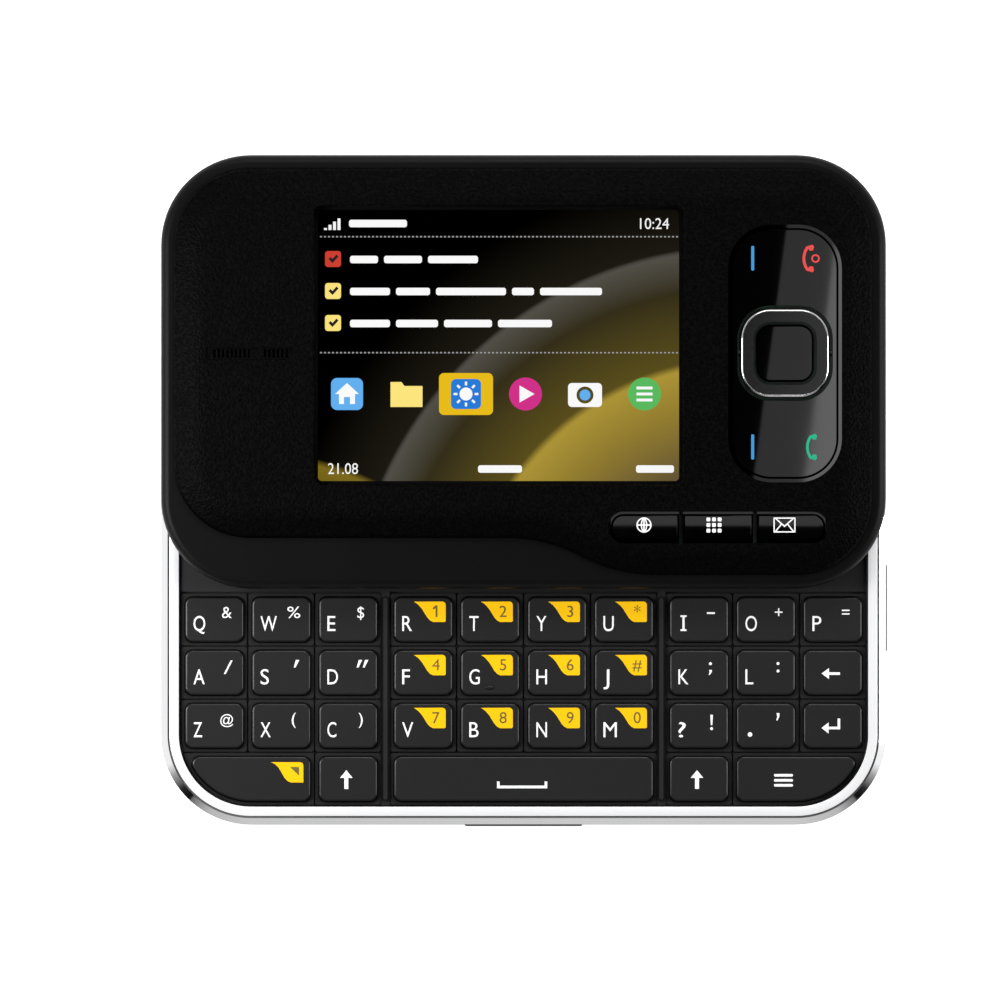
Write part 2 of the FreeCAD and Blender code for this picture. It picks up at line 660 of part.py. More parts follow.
def make_keyboard_deck():
    body = new_piece("keyboard_deck")
    outline = new_sketch(body, "deck_outline", "deck_bottom")
    case_outline(outline, -1, "(frame_wall + deck_gap)")
    pad(body, outline, "deck_top - deck_bottom")
    banks = new_sketch(body, "key_banks", "deck_floor")
    edge = "(2 * key_pitch_x)"
    past = "(case_width / 2)"
    sides = [(f"-{past}", f"-({edge} + bank_gap)"), (f"-{edge}", edge), (f"{edge} + bank_gap", past)]
    for left, right in sides:
        rectangle(banks, left, right, f"{BASE_FRONT} - 1", "deck_front")
    pocket(body, banks, "deck_top - deck_floor")
    ridges = new_sketch(body, "bank_ridges", "deck_top")
    for side in (-1, 1):
        middle = f"{side} * (2 * key_pitch_x + bank_gap / 2)"
        centred(
            ridges,
            middle,
            "keys_top - 2 * key_pitch_y",
            "ridge_width",
            "4 * key_pitch_y - bank_gap",
            "ridge_width / 2 - small_gap",
        )
    pad(body, ridges, "ridge_rise")
    holes = new_sketch(body, "post_holes", "deck_bottom")
    for x_text, y_text in key_middles():
        circle(holes, x_text, y_text, "plunger_hole")
    pocket(body, holes, "deck_floor - deck_bottom")
    post = new_sketch(body, "spring_post", "deck_top")
    circle(post, "-spring_x", "spring_low", "post_radius")
    pad(body, post, "carriage_top - deck_top - 2 * run_gap")


def make_slide_rails():
    """Two rails, each a stem with a wider head."""
    body = new_piece("slide_rails")
    parts = [
        ("rail_stems", "deck_top", "rail_head_bottom", "rail_stem"),
        ("rail_heads", "rail_head_bottom", "rail_head_top", "rail_head"),
    ]
    for name, low, high, width in parts:
        section = new_sketch(body, name, low)
        for side in (-1, 1):
            middle = f"{side} * rail_x"
            rectangle(
                section, f"{middle} - {width} / 2", f"{middle} + {width} / 2", "rail_low", "rail_high"
            )
        pad(body, section, f"{high} - {low}")


def make_slide_carriage():
    """The steel plate under the slider, with a slot for each rail and a window for the spring."""
    body = new_piece("slide_carriage")
    outline = new_sketch(body, "carriage_outline", "slider_bottom")
    rectangle(outline, "-carriage_half", "carriage_half", CARRIAGE_LOW, CARRIAGE_HIGH)
    pad(body, outline, "carriage_top - slider_bottom")
    parts = [
        ("carriage_necks", "slider_bottom", "rail_head_bottom - small_gap", "rail_stem"),
        ("carriage_heads", "rail_head_bottom - small_gap", "rail_head_top + small_gap", "rail_head"),
    ]
    for name, low, high, width in parts:
        slot = new_sketch(body, name, low)
        half = f"({width} / 2 + small_gap)"
        for side in (-1, 1):
            middle = f"{side} * rail_x"
            low_end = f"{CARRIAGE_LOW} + carriage_end"
            high_end = f"{CARRIAGE_HIGH} - carriage_end"
            rectangle(slot, f"{middle} - {half}", f"{middle} + {half}", low_end, high_end)
        pocket(body, slot, f"{high} - ({low})")
    window = new_sketch(body, "spring_window", "slider_bottom")
    rectangle(window, "-window_half", "window_half", "window_low", "window_high")
    pocket(body, window, "carriage_top - slider_bottom")


def make_assist_spring():
    """A flat wavy wire between the deck's post and the slider's post."""
    body = new_piece("assist_spring")
    path = new_sketch(body, "spring_path", "wire_height")
    run = value("spring_run")
    turn = value("spring_turn")
    bottom = value("spring_low")
    start = value("-spring_x + post_radius + small_gap")
    edges = [path.addGeometry(line(start, bottom, run, bottom), False)]
    for number in range(4):
        side = -1 if number % 2 else 1
        y = bottom + 2 * number * turn
        angles = (90, 270) if number % 2 else (-90, 90)
        edges.append(path.addGeometry(arc(side * run, y + turn, turn, *angles), False))
        far = -side * run if number < 3 else -start
        edges.append(path.addGeometry(line(side * run, y + 2 * turn, far, y + 2 * turn), False))
    doc.recompute()
    section = new_sketch(body, "spring_wire", "-spring_x + post_radius + small_gap", "YZ_Plane")
    circle(section, "spring_low", "wire_height", "wire_radius")
    wire = body.newObject("PartDesign::AdditivePipe", "spring_sweep")
    wire.Profile = section
    wire.Spine = path
    doc.recompute()


def make_letter_key(name, left, right, row):
    """A flat plate with a soft raised top and a post that reaches its switch."""
    body = new_piece(f"key_{name}")
    width = f"({right} - {left})"
    plate = new_sketch(body, f"{name}_plate")
    centred(plate, "0", "0", f"{width} - key_seam", "key_pitch_y - key_seam", "plate_corner")
    pad(body, plate, "key_plate")
    dome = new_sketch(body, f"{name}_dome", "key_plate")
    length = f"{width} - 2 * key_margin_x"
    centred(dome, "0", "0", length, "key_pitch_y - 2 * key_margin_y", "key_dome_corner")
    raised = pad(body, dome, "key_dome")
    top = outer_edges(raised, "key_plate + key_dome")
    fillet(body, raised, top, "key_dome_round")
    post = new_sketch(body, f"{name}_post", f"-{POST_LENGTH}")
    circle(post, "0", "0", "plunger_radius")
    pad(body, post, POST_LENGTH)
    body.setExpression("Placement.Base.x", bound(f"({left} + {right}) / 2"))
    body.setExpression("Placement.Base.y", bound(row_middle(row)))
    body.setExpression("Placement.Base.z", "Sizes.key_under")


def corner_outline(sketch, side, inner, low, high):
    """A rectangle whose outer lower corner is one large arc, about the frame's own corner."""
    x0, y0, y1 = value(inner), value(low), value(high)
    cx, cy = value(f"{side} * {CORNER_X}"), value(CORNER_Y)
    radius = cy - y0
    rise = math.degrees(math.asin((cy - y1) / radius))
    x1 = cx + side * math.sqrt(radius**2 - (cy - y1) ** 2)
    angles = (270, 360 - rise) if side > 0 else (180 + rise, 270)
    bottom = sketch.addGeometry(line(cx, y0, x0, y0), False)
    inside = sketch.addGeometry(line(x0, y0, x0, y1), False)
    top = sketch.addGeometry(line(x0, y1, x1, y1), False)
    corner = sketch.addGeometry(arc(cx, cy, radius, *angles), False)
    top_end, low_end = (2, 1) if side > 0 else (1, 2)
    sketch.addConstraint(Sketcher.Constraint("Coincident", bottom, 2, inside, 1))
    sketch.addConstraint(Sketcher.Constraint("Coincident", inside, 2, top, 1))
    sketch.addConstraint(Sketcher.Constraint("Coincident", top, 2, corner, top_end))
    sketch.addConstraint(Sketcher.Constraint("Tangent", bottom, 1, corner, low_end))
    sketch.addConstraint(Sketcher.Constraint("Horizontal", bottom))
    sketch.addConstraint(Sketcher.Constraint("Vertical", inside))
    sketch.addConstraint(Sketcher.Constraint("Horizontal", top))
    hold_point(sketch, corner, 3, f"{side} * {CORNER_X}", CORNER_Y)
    hold_point(sketch, bottom, 2, inner, low)
    hold(sketch, "DistanceY", (-1, 1, top, 1), high)


def make_corner_key(name, side):
    body = new_piece(f"key_{name}")
    inner = "(3 * key_pitch_x + bank_gap)"
    low = "keys_top - 4 * key_pitch_y"
    high = "keys_top - 3 * key_pitch_y"
    seam = "key_seam / 2"
    plate = new_sketch(body, f"{name}_plate", "key_under")
    corner_outline(plate, side, f"{side} * ({inner} + {seam})", f"{low} + {seam}", f"{high} - {seam}")
    pad(body, plate, "key_plate")
    dome = new_sketch(body, f"{name}_dome", "key_under + key_plate")
    corner_outline(
        dome,
        side,
        f"{side} * ({inner} + key_margin_x)",
        f"{low} + key_margin_y",
        f"{high} - key_margin_y",
    )
    raised = pad(body, dome, "key_dome")
    bottom = value("key_under + key_plate")
    smooth = value(f"{side} * {CORNER_X}")
    uprights = edges_where(
        raised.Shape,
        lambda box, edge: near(box.ZMin, bottom)
        and near(box.ZLength, value("key_dome"))
        and box.XLength + box.YLength < 1e-4
        and not near(box.XMin, smooth),
    )
    rounded = fillet(body, raised, uprights, "key_dome_corner")
    top = outer_edges(rounded, "key_under + key_plate + key_dome")
    fillet(body, rounded, top, "key_dome_round")
    post = new_sketch(body, f"{name}_post", f"key_under - {POST_LENGTH}")
    circle(post, f"{side} * (4 * key_pitch_x + bank_gap)", row_middle(3), "plunger_radius")
    pad(body, post, POST_LENGTH)


def make_side_keys():
    body = new_piece("volume_rocker")
    outline = new_sketch(body, "rocker_outline", "side_low")
    half = "rocker_length / 2"
    back = f"{BASE_FRONT} + side_depth - side_room"
    centred_y = f"({BASE_FRONT} - rocker_proud + {back}) / 2"
    depth = "side_depth - side_room + rocker_proud"
    centred(outline, "0", centred_y, f"2 * {half}", depth, "soft_edge")
    pad(body, outline, "side_high - side_low")
    nub = new_sketch(body, "rocker_nub", "side_low")
    circle(nub, "0", f"{back} - run_gap / 2", "side_room")
    pad(body, nub, "side_high - side_low")
    body = new_piece("capture_key")
    outline = new_sketch(body, "capture_outline", "side_low")
    depth = "side_depth - side_room + capture_proud"
    middle = f"case_width / 2 + capture_proud - ({depth}) / 2"
    centred(outline, middle, "capture_y", depth, "capture_length", "soft_edge")
    pad(body, outline, "side_high - side_low")


def make_slider_housing():
    body = new_piece("slider_housing")
    outline = new_sketch(body, "housing_outline", "slider_bottom")
    case_outline(outline, 1)
    block = pad(body, outline, "rim_top - slider_bottom")
    rim = fillet(body, block, outer_edges(block, "rim_top"), "rim_round")
    fillet(body, rim, outer_edges(rim, "slider_bottom"), "rim_lower_round")
    cavity = new_sketch(body, "housing_cavity", "housing_floor")
    cover_outline(cavity, "cavity_inset")
    pocket(body, cavity, "rim_top - housing_floor")
    seat = new_sketch(body, "carriage_seat", "slider_bottom")
    half = "(carriage_half + small_gap)"
    rectangle(seat, f"-{half}", half, f"{CARRIAGE_LOW} - small_gap", f"{CARRIAGE_HIGH} + small_gap")
    pocket(body, seat, "carriage_top - slider_bottom")
    post = new_sketch(body, "slider_post", "wire_height - 2 * wire_radius")
    circle(post, "spring_x", SPRING_HIGH, "post_radius")
    pad(body, post, "carriage_top - wire_height + 3 * wire_radius")


def make_front_cover():
    body = new_piece("front_cover")
    outline = new_sketch(body, "cover_sketch", "rim_top")
    cover_outline(outline)
    block = pad(body, outline, "phone_top - rim_top")
    sloped = bevel(body, block, outer_edges(block, "phone_top"), "pillow_drop", "pillow_width")
    upper = fillet(body, sloped, outer_edges(sloped, "phone_top"), "pillow_upper_round")
    fold = value("phone_top - pillow_drop")
    lower = edges_where(
        upper.Shape, lambda box, edge: near(box.ZMin, fold) and near(box.ZMax, fold)
    )
    fillet(body, upper, lower, "pillow_lower_round")
    hollow = new_sketch(body, "cover_hollow", "rim_top")
    cover_outline(hollow, "cover_rim")
    pocket(body, hollow, "cover_ceiling - rim_top")
    openings = new_sketch(body, "cover_openings", "rim_top")
    rounded_rectangle(
        openings,
        "screen_left - run_gap",
        "screen_right + run_gap",
        "screen_low - run_gap",
        "screen_high + run_gap",
        "screen_corner",
    )
    rounded_rectangle(
        openings,
        "panel_left - panel_gap",
        "panel_right + panel_gap",
        "panel_low - panel_gap",
        "panel_high + panel_gap",
        "panel_corner + panel_gap",
    )
    rounded_rectangle(
        openings,
        "shortcut_left - shortcut_gap",
        "shortcut_right + shortcut_gap",
        "shortcut_low - shortcut_gap",
        "shortcut_high + shortcut_gap",
        "shortcut_end + shortcut_gap",
    )
    cut = pocket(body, openings, "phone_top - rim_top")
    top = value("phone_top")
    inner = set()
    for face in cut.Shape.Faces:
        if near(face.BoundBox.ZMin, top) and near(face.BoundBox.ZMax, top):
            for wire in face.Wires:
                if not wire.isSame(face.OuterWire):
                    inner.update(
                        f"Edge{n}"
                        for n, edge in enumerate(cut.Shape.Edges, 1)
                        if any(edge.isSame(e) for e in wire.Edges)
                    )
    fillet(body, cut, sorted(inner), "opening_edge")
    recess = new_sketch(body, "ear_recess", "phone_top - ear_depth")
    rounded_rectangle(recess, "ear_left", "ear_right", "ear_low", "ear_high", "plate_corner")
    pocket(body, recess, "ear_depth")
    for name, start, count in (("left", "slit_left", 9), ("right", "slit_right", 6)):
        slit = new_sketch(body, f"ear_slit_{name}", "cover_ceiling")
        rectangle(slit, start, f"{start} + slit_width", "ear_low + plate_corner", "ear_high - plate_corner")
        first = pocket(body, slit, "phone_top - cover_ceiling")
        repeat(body, first, "slit_pitch", count)


def make_display():
    body = new_piece("display_window")
    for name, low, high, grow in (
        ("glass_flange", "flange_bottom", "flange_top", "flange_width"),
        ("glass_pane", "flange_top", "glass_top", "0"),
    ):
        outline = new_sketch(body, name, low)
        rounded_rectangle(
            outline,
            f"screen_left - {grow}",
            f"screen_right + {grow}",
            f"screen_low - {grow}",
            f"screen_high + {grow}",
            "screen_corner",
        )
        pad(body, outline, f"{high} - {low}")
    body = new_piece("display_module")
    outline = new_sketch(body, "display_outline", "display_bottom")
    rounded_rectangle(
        outline,
        "screen_left - display_border",
        "screen_right + display_border",
        "screen_low - display_border",
        "screen_high + display_border",
        "plate_corner",
    )
    pad(body, outline, "display_top - display_bottom")


def front_posts():
    """Where each front key presses on the front board, by key."""
    panel = [
        (f"{PANEL_X} + {x} * panel_post_x", f"{PANEL_Y} + {y} * panel_post_y")
        for x in (-1, 1)
        for y in (-1, 1)
    ]
    reach = "(ring_size + ring_hole) / 4"
    ring = [
        (f"navi_x + {x} * {reach}", f"navi_y + {y} * {reach}") for x, y in ((1, 0), (0, 1), (-1, 0), (0, -1))
    ]
    places = {"keypad_plate": panel, "navi_ring": ring, "navi_key": [("navi_x", "navi_y")]}
    for name, left, right in SHORTCUTS:
        places[f"shortcut_{name}"] = [(f"({left} + {right}) / 2", SHORTCUT_Y)]
    return places


def add_posts(body):
    """The short posts under a front key."""
    posts = new_sketch(body, f"{body.Label}_posts", FRONT_POST_BOTTOM)
    for x_text, y_text in front_posts()[body.Label]:
        circle(posts, x_text, y_text, "front_post_radius")
    pad(body, posts, f"flange_bottom - {FRONT_POST_BOTTOM}")


def make_slider_board():
    body = new_piece("slider_board")
    outline = new_sketch(body, "front_board", "front_board_bottom")
    cover_outline(outline, "front_board_inset")
    pad(body, outline, "board_thickness")
    domes = new_sketch(body, "front_domes", FRONT_BOARD_TOP)
    for places in front_posts().values():
        for x_text, y_text in places:
            circle(domes, x_text, y_text, "front_dome_radius")
    pad(body, domes, "dome_height")


def make_earpiece():
    body = new_piece("earpiece")
    outline = new_sketch(body, "ear_capsule", "display_bottom")
    x_text = "(ear_left + ear_right) / 2"
    y_text = "(ear_low + ear_high) / 2"
    centred(outline, x_text, y_text, "ear_length", "ear_width", "battery_corner")
    pad(body, outline, "flange_top - display_bottom")


def make_keypad_plate():
    body = new_piece("keypad_plate")
    for name, low, high, grow in (
        ("panel_flange", "flange_bottom", "flange_top", "flange_width"),
        ("panel_face", "flange_top", "panel_top", "0"),
    ):
        outline = new_sketch(body, name, low)
        rounded_rectangle(
            outline,
            f"panel_left - {grow}",
            f"panel_right + {grow}",
            f"panel_low - {grow}",
            f"panel_high + {grow}",
            f"panel_corner + {grow}",
        )
        block = pad(body, outline, f"{high} - {low}")
    fillet(body, block, outer_edges(block, "panel_top"), "soft_edge")
    opening = new_sketch(body, "ring_opening", "flange_bottom")
    size = "ring_size + 2 * panel_gap"
    centred(opening, "navi_x", "navi_y", size, size, "ring_corner + panel_gap")
    pocket(body, opening, "panel_top - flange_bottom")
    add_posts(body)


def make_navi():
    body = new_piece("navi_ring")
    outline = new_sketch(body, "ring_outline", "flange_bottom")
    centred(outline, "navi_x", "navi_y", "ring_size", "ring_size", "ring_corner")
    block = pad(body, outline, "ring_top - flange_bottom")
    bevel(body, block, outer_edges(block, "ring_top"), "ring_bevel", "ring_bevel")
    hole = new_sketch(body, "ring_inside", "flange_bottom")
    centred(hole, "navi_x", "navi_y", "ring_hole", "ring_hole", "ring_hole_corner")
    pocket(body, hole, "ring_top - flange_bottom")
    add_posts(body)
    for name, start in (
        ("right", "navi_x + ring_size / 2 - pivot_grip"),
        ("left", "navi_x - ring_size / 2 - pivot_length"),
    ):
        pivot = new_sketch(body, f"ring_pivot_{name}", start, "YZ_Plane")
        circle(pivot, "navi_y", "pivot_height", "pivot_radius")
        pad(body, pivot, "pivot_grip + pivot_length")
    body = new_piece("navi_key")
    outline = new_sketch(body, "navi_key_outline", "flange_bottom")
    centred(outline, "navi_x", "navi_y", "navi_key_size", "navi_key_size", "navi_key_corner")
    block = pad(body, outline, "navi_key_top - flange_bottom")
    fillet(body, block, outer_edges(block, "navi_key_top"), "soft_edge")
    add_posts(body)


def make_shortcut(name, left, right):
    body = new_piece(f"shortcut_{name}")
    flange = new_sketch(body, f"{name}_flange", "flange_bottom")
    rectangle(flange, left, right, "shortcut_low - flange_width", "shortcut_high + flange_width")
    pad(body, flange, "flange_top - flange_bottom")
    face = new_sketch(body, f"{name}_face", "flange_top")
    rectangle(face, left, right, "shortcut_low", "shortcut_high")
    block = pad(body, face, "shortcut_top - flange_top")
    ends = [value("shortcut_left"), value("shortcut_right")]
    bottom = value("flange_top")
    uprights = edges_where(
        block.Shape,
        lambda box, edge: near(box.ZMin, bottom)
        and box.XLength + box.YLength < 1e-4
        and any(near(box.XMin, x) for x in ends),
    )
    if uprights:
        block = fillet(body, block, uprights, "shortcut_end")
    fillet(body, block, outer_edges(block, "shortcut_top"), "soft_edge")
    add_posts(body)


def make_phone():
    make_rear_shell()
    make_base_frame()
    make_battery()
    make_battery_cover()
    make_camera_module()
    make_loudspeaker()
    make_main_board()
    make_keyboard_deck()
    make_slide_rails()
    make_assist_spring()
    for name, left, right, row in key_cells():
        make_letter_key(name, left, right, row)
    make_corner_key("function", -1)
    make_corner_key("options", 1)
    make_side_keys()
    make_slider_housing()
    make_slide_carriage()
    make_front_cover()
    make_display()
    make_slider_board()
    make_earpiece()
    make_keypad_plate()
    make_navi()
    for name, left, right in SHORTCUTS:
        make_shortcut(name, left, right)


def check_and_write():
    """Stops on any failed object or bad shape, then writes each piece."""
    doc.recompute()
    for item in doc.Objects:
        if any(word in item.State for word in ("Invalid", "Error")):
            raise RuntimeError(f"{item.Name} is {item.State}")
    for piece in pieces:
        if piece.Shape.isNull() or not piece.Shape.isValid() or not piece.Shape.Solids:
            raise RuntimeError(f"{piece.Label} has no sound shape")
    os.makedirs("parts", exist_ok=True)
    for piece in pieces:
        piece.Shape.exportStep(f"parts/{piece.Label}.step")
        print(piece.Label, len(piece.Shape.Solids), round(piece.Shape.Volume, 2))


make_phone()
check_and_write()
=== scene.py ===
"""Looks of a side-slider phone that lies on its back, slid open.

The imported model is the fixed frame. Sizes are written in millimetres, and flat signs in the
pixels of the photograph, which is 7.436 pixels to the millimetre. A piece is brought to metres
once it is finished.
"""

import json
import logging
import math
from dataclasses import dataclass, field
from enum import Enum
from typing import Protocol

import bpy
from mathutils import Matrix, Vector


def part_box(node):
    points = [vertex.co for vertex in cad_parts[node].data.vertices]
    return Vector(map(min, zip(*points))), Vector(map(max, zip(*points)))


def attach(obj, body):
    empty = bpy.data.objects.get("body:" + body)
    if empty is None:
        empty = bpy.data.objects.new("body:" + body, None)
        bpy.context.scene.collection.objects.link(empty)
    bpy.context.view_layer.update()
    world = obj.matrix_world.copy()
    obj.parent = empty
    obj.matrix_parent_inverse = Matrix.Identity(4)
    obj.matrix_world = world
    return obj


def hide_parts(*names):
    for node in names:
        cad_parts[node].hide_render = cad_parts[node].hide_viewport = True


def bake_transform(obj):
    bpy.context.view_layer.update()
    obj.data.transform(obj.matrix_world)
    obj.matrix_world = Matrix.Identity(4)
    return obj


LOG = logging.getLogger("slider_phone")
Point = tuple[float, float]
Colour = tuple[float, float, float]
Outline = list[Point]
Stops = tuple[tuple[float, Colour], ...]
Socket = bpy.types.NodeSocket

MM = 0.001
PHOTO_PIXELS = 1000
PIXELS_PER_MM = 7.436
PHOTO_ORIGIN = (523.5, 489.75)
CAPITAL_SHARE = 0.729
PRINT_THICKNESS = 0.02
MERGE_DISTANCE = 1e-6
SMOOTH_ANGLE = math.radians(32)
CIRCLE_STEPS = 32
FLAT_ANGLE = math.radians(0.05)
BRUSHED_STRETCH = 40.0
NOISE_RANGE = (0.3, 0.7)

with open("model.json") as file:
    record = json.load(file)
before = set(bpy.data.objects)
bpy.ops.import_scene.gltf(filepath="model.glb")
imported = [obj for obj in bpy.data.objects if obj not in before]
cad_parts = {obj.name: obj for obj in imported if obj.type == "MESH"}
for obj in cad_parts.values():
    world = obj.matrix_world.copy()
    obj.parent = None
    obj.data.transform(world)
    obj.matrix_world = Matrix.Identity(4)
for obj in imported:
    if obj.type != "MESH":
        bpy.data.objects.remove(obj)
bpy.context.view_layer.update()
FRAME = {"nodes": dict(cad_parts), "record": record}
BODIES = FRAME["record"]["behaviour"]["bodies"]
NODE_BODY = {node: body for body, nodes in BODIES.items() for node in nodes}


def photo_point(x: float, y: float) -> Point:
    """The place in millimetres of a pixel of the photograph.

    Args:
        x: Pixels from the left.
        y: Pixels from the top.

    Returns:
        X and Y in the phone's frame.
    """
    return (x - PHOTO_ORIGIN[0]) / PIXELS_PER_MM, (PHOTO_ORIGIN[1] - y) / PIXELS_PER_MM


class Surface(Enum):
    """The relief that a finish carries."""

    SMOOTH = "smooth"
    SATIN = "satin"
    LEATHER = "leather"
    BRUSHED = "brushed"


@dataclass(frozen=True)
class Graph:
    """A shader node tree, with short ways to add the nodes that recur."""

    tree: bpy.types.NodeTree

    def add(self, kind: str, **inputs: float | tuple) -> bpy.types.Node:
        """Adds a node.

        Args:
            kind: Its type, without the leading ShaderNode.
            **inputs: Values of its inputs, by their names with _ for a space.

        Returns:
            The node.
        """
        node = self.tree.nodes.new(f"ShaderNode{kind}")
        for name, value in inputs.items():
            node.inputs[name.replace("_", " ")].default_value = value
        return node

    def feed(self, value: Socket | float | tuple, entry: Socket) -> None:
        """Links an output to an input, or sets the input.

        Args:
            value: The output, or a fixed number or colour.
            entry: The input.
        """
        if isinstance(value, bpy.types.NodeSocket):
            self.tree.links.new(value, entry)
        else:
            entry.default_value = value

    def maths(self, kind: str, first: Socket | float, second: Socket | float = 0.0) -> Socket:
        """One step of arithmetic.

        Args:
            kind: The operation.
            first: An output or a number.
            second: An output or a number.

        Returns:
            The outcome.
        """
        node = self.add("Math")
        node.operation = kind
        self.feed(first, node.inputs[0])
        self.feed(second, node.inputs[1])
        return node.outputs["Value"]

    def span(self, value: Socket, start: Point, end: Point = (0.0, 1.0)) -> Socket:
        """Turns one range of numbers into another.

        Args:
            value: The number.
            start: The range that it comes from.
            end: The range that it is brought to.

        Returns:
            The new number, which stays within the range.
        """
        node = self.add("MapRange", From_Min=start[0], From_Max=start[1], To_Min=end[0], To_Max=end[1])
        self.feed(value, node.inputs["Value"])
        return node.outputs["Result"]

    def mix(self, kind: str, share: Socket | float, first: Socket | tuple, second: Socket | tuple) -> Socket:
        """Mixes two colours.

        Args:
            kind: The way of mixing.
            share: How much of the second colour comes in.
            first: An output or a fixed colour.
            second: An output or a fixed colour.

        Returns:
            The mixed colour.
        """
        node = self.add("Mix")
        node.data_type = "RGBA"
        node.blend_type = kind
        colours = [entry for entry in node.inputs if entry.type == "RGBA"]
        for value, entry in zip((share, first, second), (node.inputs[0], *colours)):
            self.feed(value, entry)
        return [leave for leave in node.outputs if leave.type == "RGBA"][0]

    def ramp(self, value: Socket, stops: Stops) -> Socket:
        """A run of colours along a number.

        Args:
            value: The number, from 0 to 1.
            stops: Place and colour of each stop.

        Returns:
            The colour.
        """
        node = self.add("ValToRGB")
        self.feed(value, node.inputs["Fac"])
        ends = node.color_ramp.elements
        for end, (place, colour) in zip((ends[1], ends[0]), (stops[-1], stops[0])):
            end.position, end.color = place, (*colour, 1.0)
        for place, colour in stops[1:-1]:
            ends.new(place).color = (*colour, 1.0)
        return node.outputs["Color"]

    def axes(self, source: str) -> bpy.types.bpy_prop_collection:
        """Splits one kind of coordinate.

        Args:
            source: The coordinate's name.

        Returns:
            Outputs named X, Y and Z.
        """
        split = self.add("SeparateXYZ")
        self.feed(self.add("TexCoord").outputs[source], split.inputs["Vector"])
        return split.outputs


class Look(Protocol):
    """Anything that can dress a piece."""

    def build(self) -> bpy.types.Material:
        """Makes the material, or finds it if it is there already."""


class Shaders:
    """Shader node groups that several finishes share, each built once."""

    @staticmethod
    def _group(name: str, inputs: dict[str, float]) -> Graph:
        """Makes a group with float inputs, and a height and a mask as outputs.

        Args:
            name: The group's name.
            inputs: Name and first value of each input.

        Returns:
            The group's tree.
        """
        group = bpy.data.node_groups.new(name, "ShaderNodeTree")
        for label, value in inputs.items():
            entry = group.interface.new_socket(label, in_out="INPUT", socket_type="NodeSocketFloat")
            entry.default_value = value
        for label in ("Height", "Mask"):
            group.interface.new_socket(label, in_out="OUTPUT", socket_type="NodeSocketFloat")
        return Graph(group)

    @classmethod
    def grain(cls) -> bpy.types.NodeTree:
        """Fine leather grain: small rounded cells with shallow creases.

        Returns:
            The group, with Scale as its input.
        """
        found = bpy.data.node_groups.get("leather_grain")
        if found:
            return found
        graph = cls._group("leather_grain", {"Scale": 1.0})
        entry = graph.tree.nodes.new("NodeGroupInput")
        leave = graph.tree.nodes.new("NodeGroupOutput")
        place = graph.add("TexCoord").outputs["Object"]
        cells = graph.add("TexVoronoi")
        cells.feature = "SMOOTH_F1"
        cells.inputs["Smoothness"].default_value = 0.35
        cells.inputs["Randomness"].default_value = 0.9
        warp = graph.add("TexNoise", Detail=3.0)
        for texture in (cells, warp):
            graph.feed(place, texture.inputs["Vector"])
            graph.feed(entry.outputs["Scale"], texture.inputs["Scale"])
        unevenness = graph.maths("MULTIPLY", warp.outputs["Fac"], 0.35)
        graph.feed(graph.maths("ADD", unevenness, cells.outputs["Distance"]), leave.inputs["Height"])
        graph.feed(warp.outputs["Fac"], leave.inputs["Mask"])
        return graph.tree

    @classmethod
    def speckle(cls) -> bpy.types.NodeTree:
        """The faint unevenness of moulded plastic and blasted metal.

        Returns:
            The group, with Scale and Stretch as its inputs. Stretch draws the pattern out along X.
        """
        found = bpy.data.node_groups.get("fine_speckle")
        if found:
            return found
        graph = cls._group("fine_speckle", {"Scale": 1.0, "Stretch": 1.0})
        entry = graph.tree.nodes.new("NodeGroupInput")
        leave = graph.tree.nodes.new("NodeGroupOutput")
        axes = graph.axes("Object")
        drawn = graph.add("CombineXYZ")
        graph.feed(graph.maths("DIVIDE", axes["X"], entry.outputs["Stretch"]), drawn.inputs["X"])
        graph.feed(axes["Y"], drawn.inputs["Y"])
        graph.feed(axes["Z"], drawn.inputs["Z"])
        fine = graph.add("TexNoise", Detail=4.0, Roughness=0.65)
        graph.feed(drawn.outputs["Vector"], fine.inputs["Vector"])
        graph.feed(entry.outputs["Scale"], fine.inputs["Scale"])
        wide = graph.add("TexNoise", Scale=60.0)
        graph.feed(graph.add("TexCoord").outputs["Object"], wide.inputs["Vector"])
        graph.feed(fine.outputs["Fac"], leave.inputs["Height"])
        graph.feed(wide.outputs["Fac"], leave.inputs["Mask"])
        return graph.tree


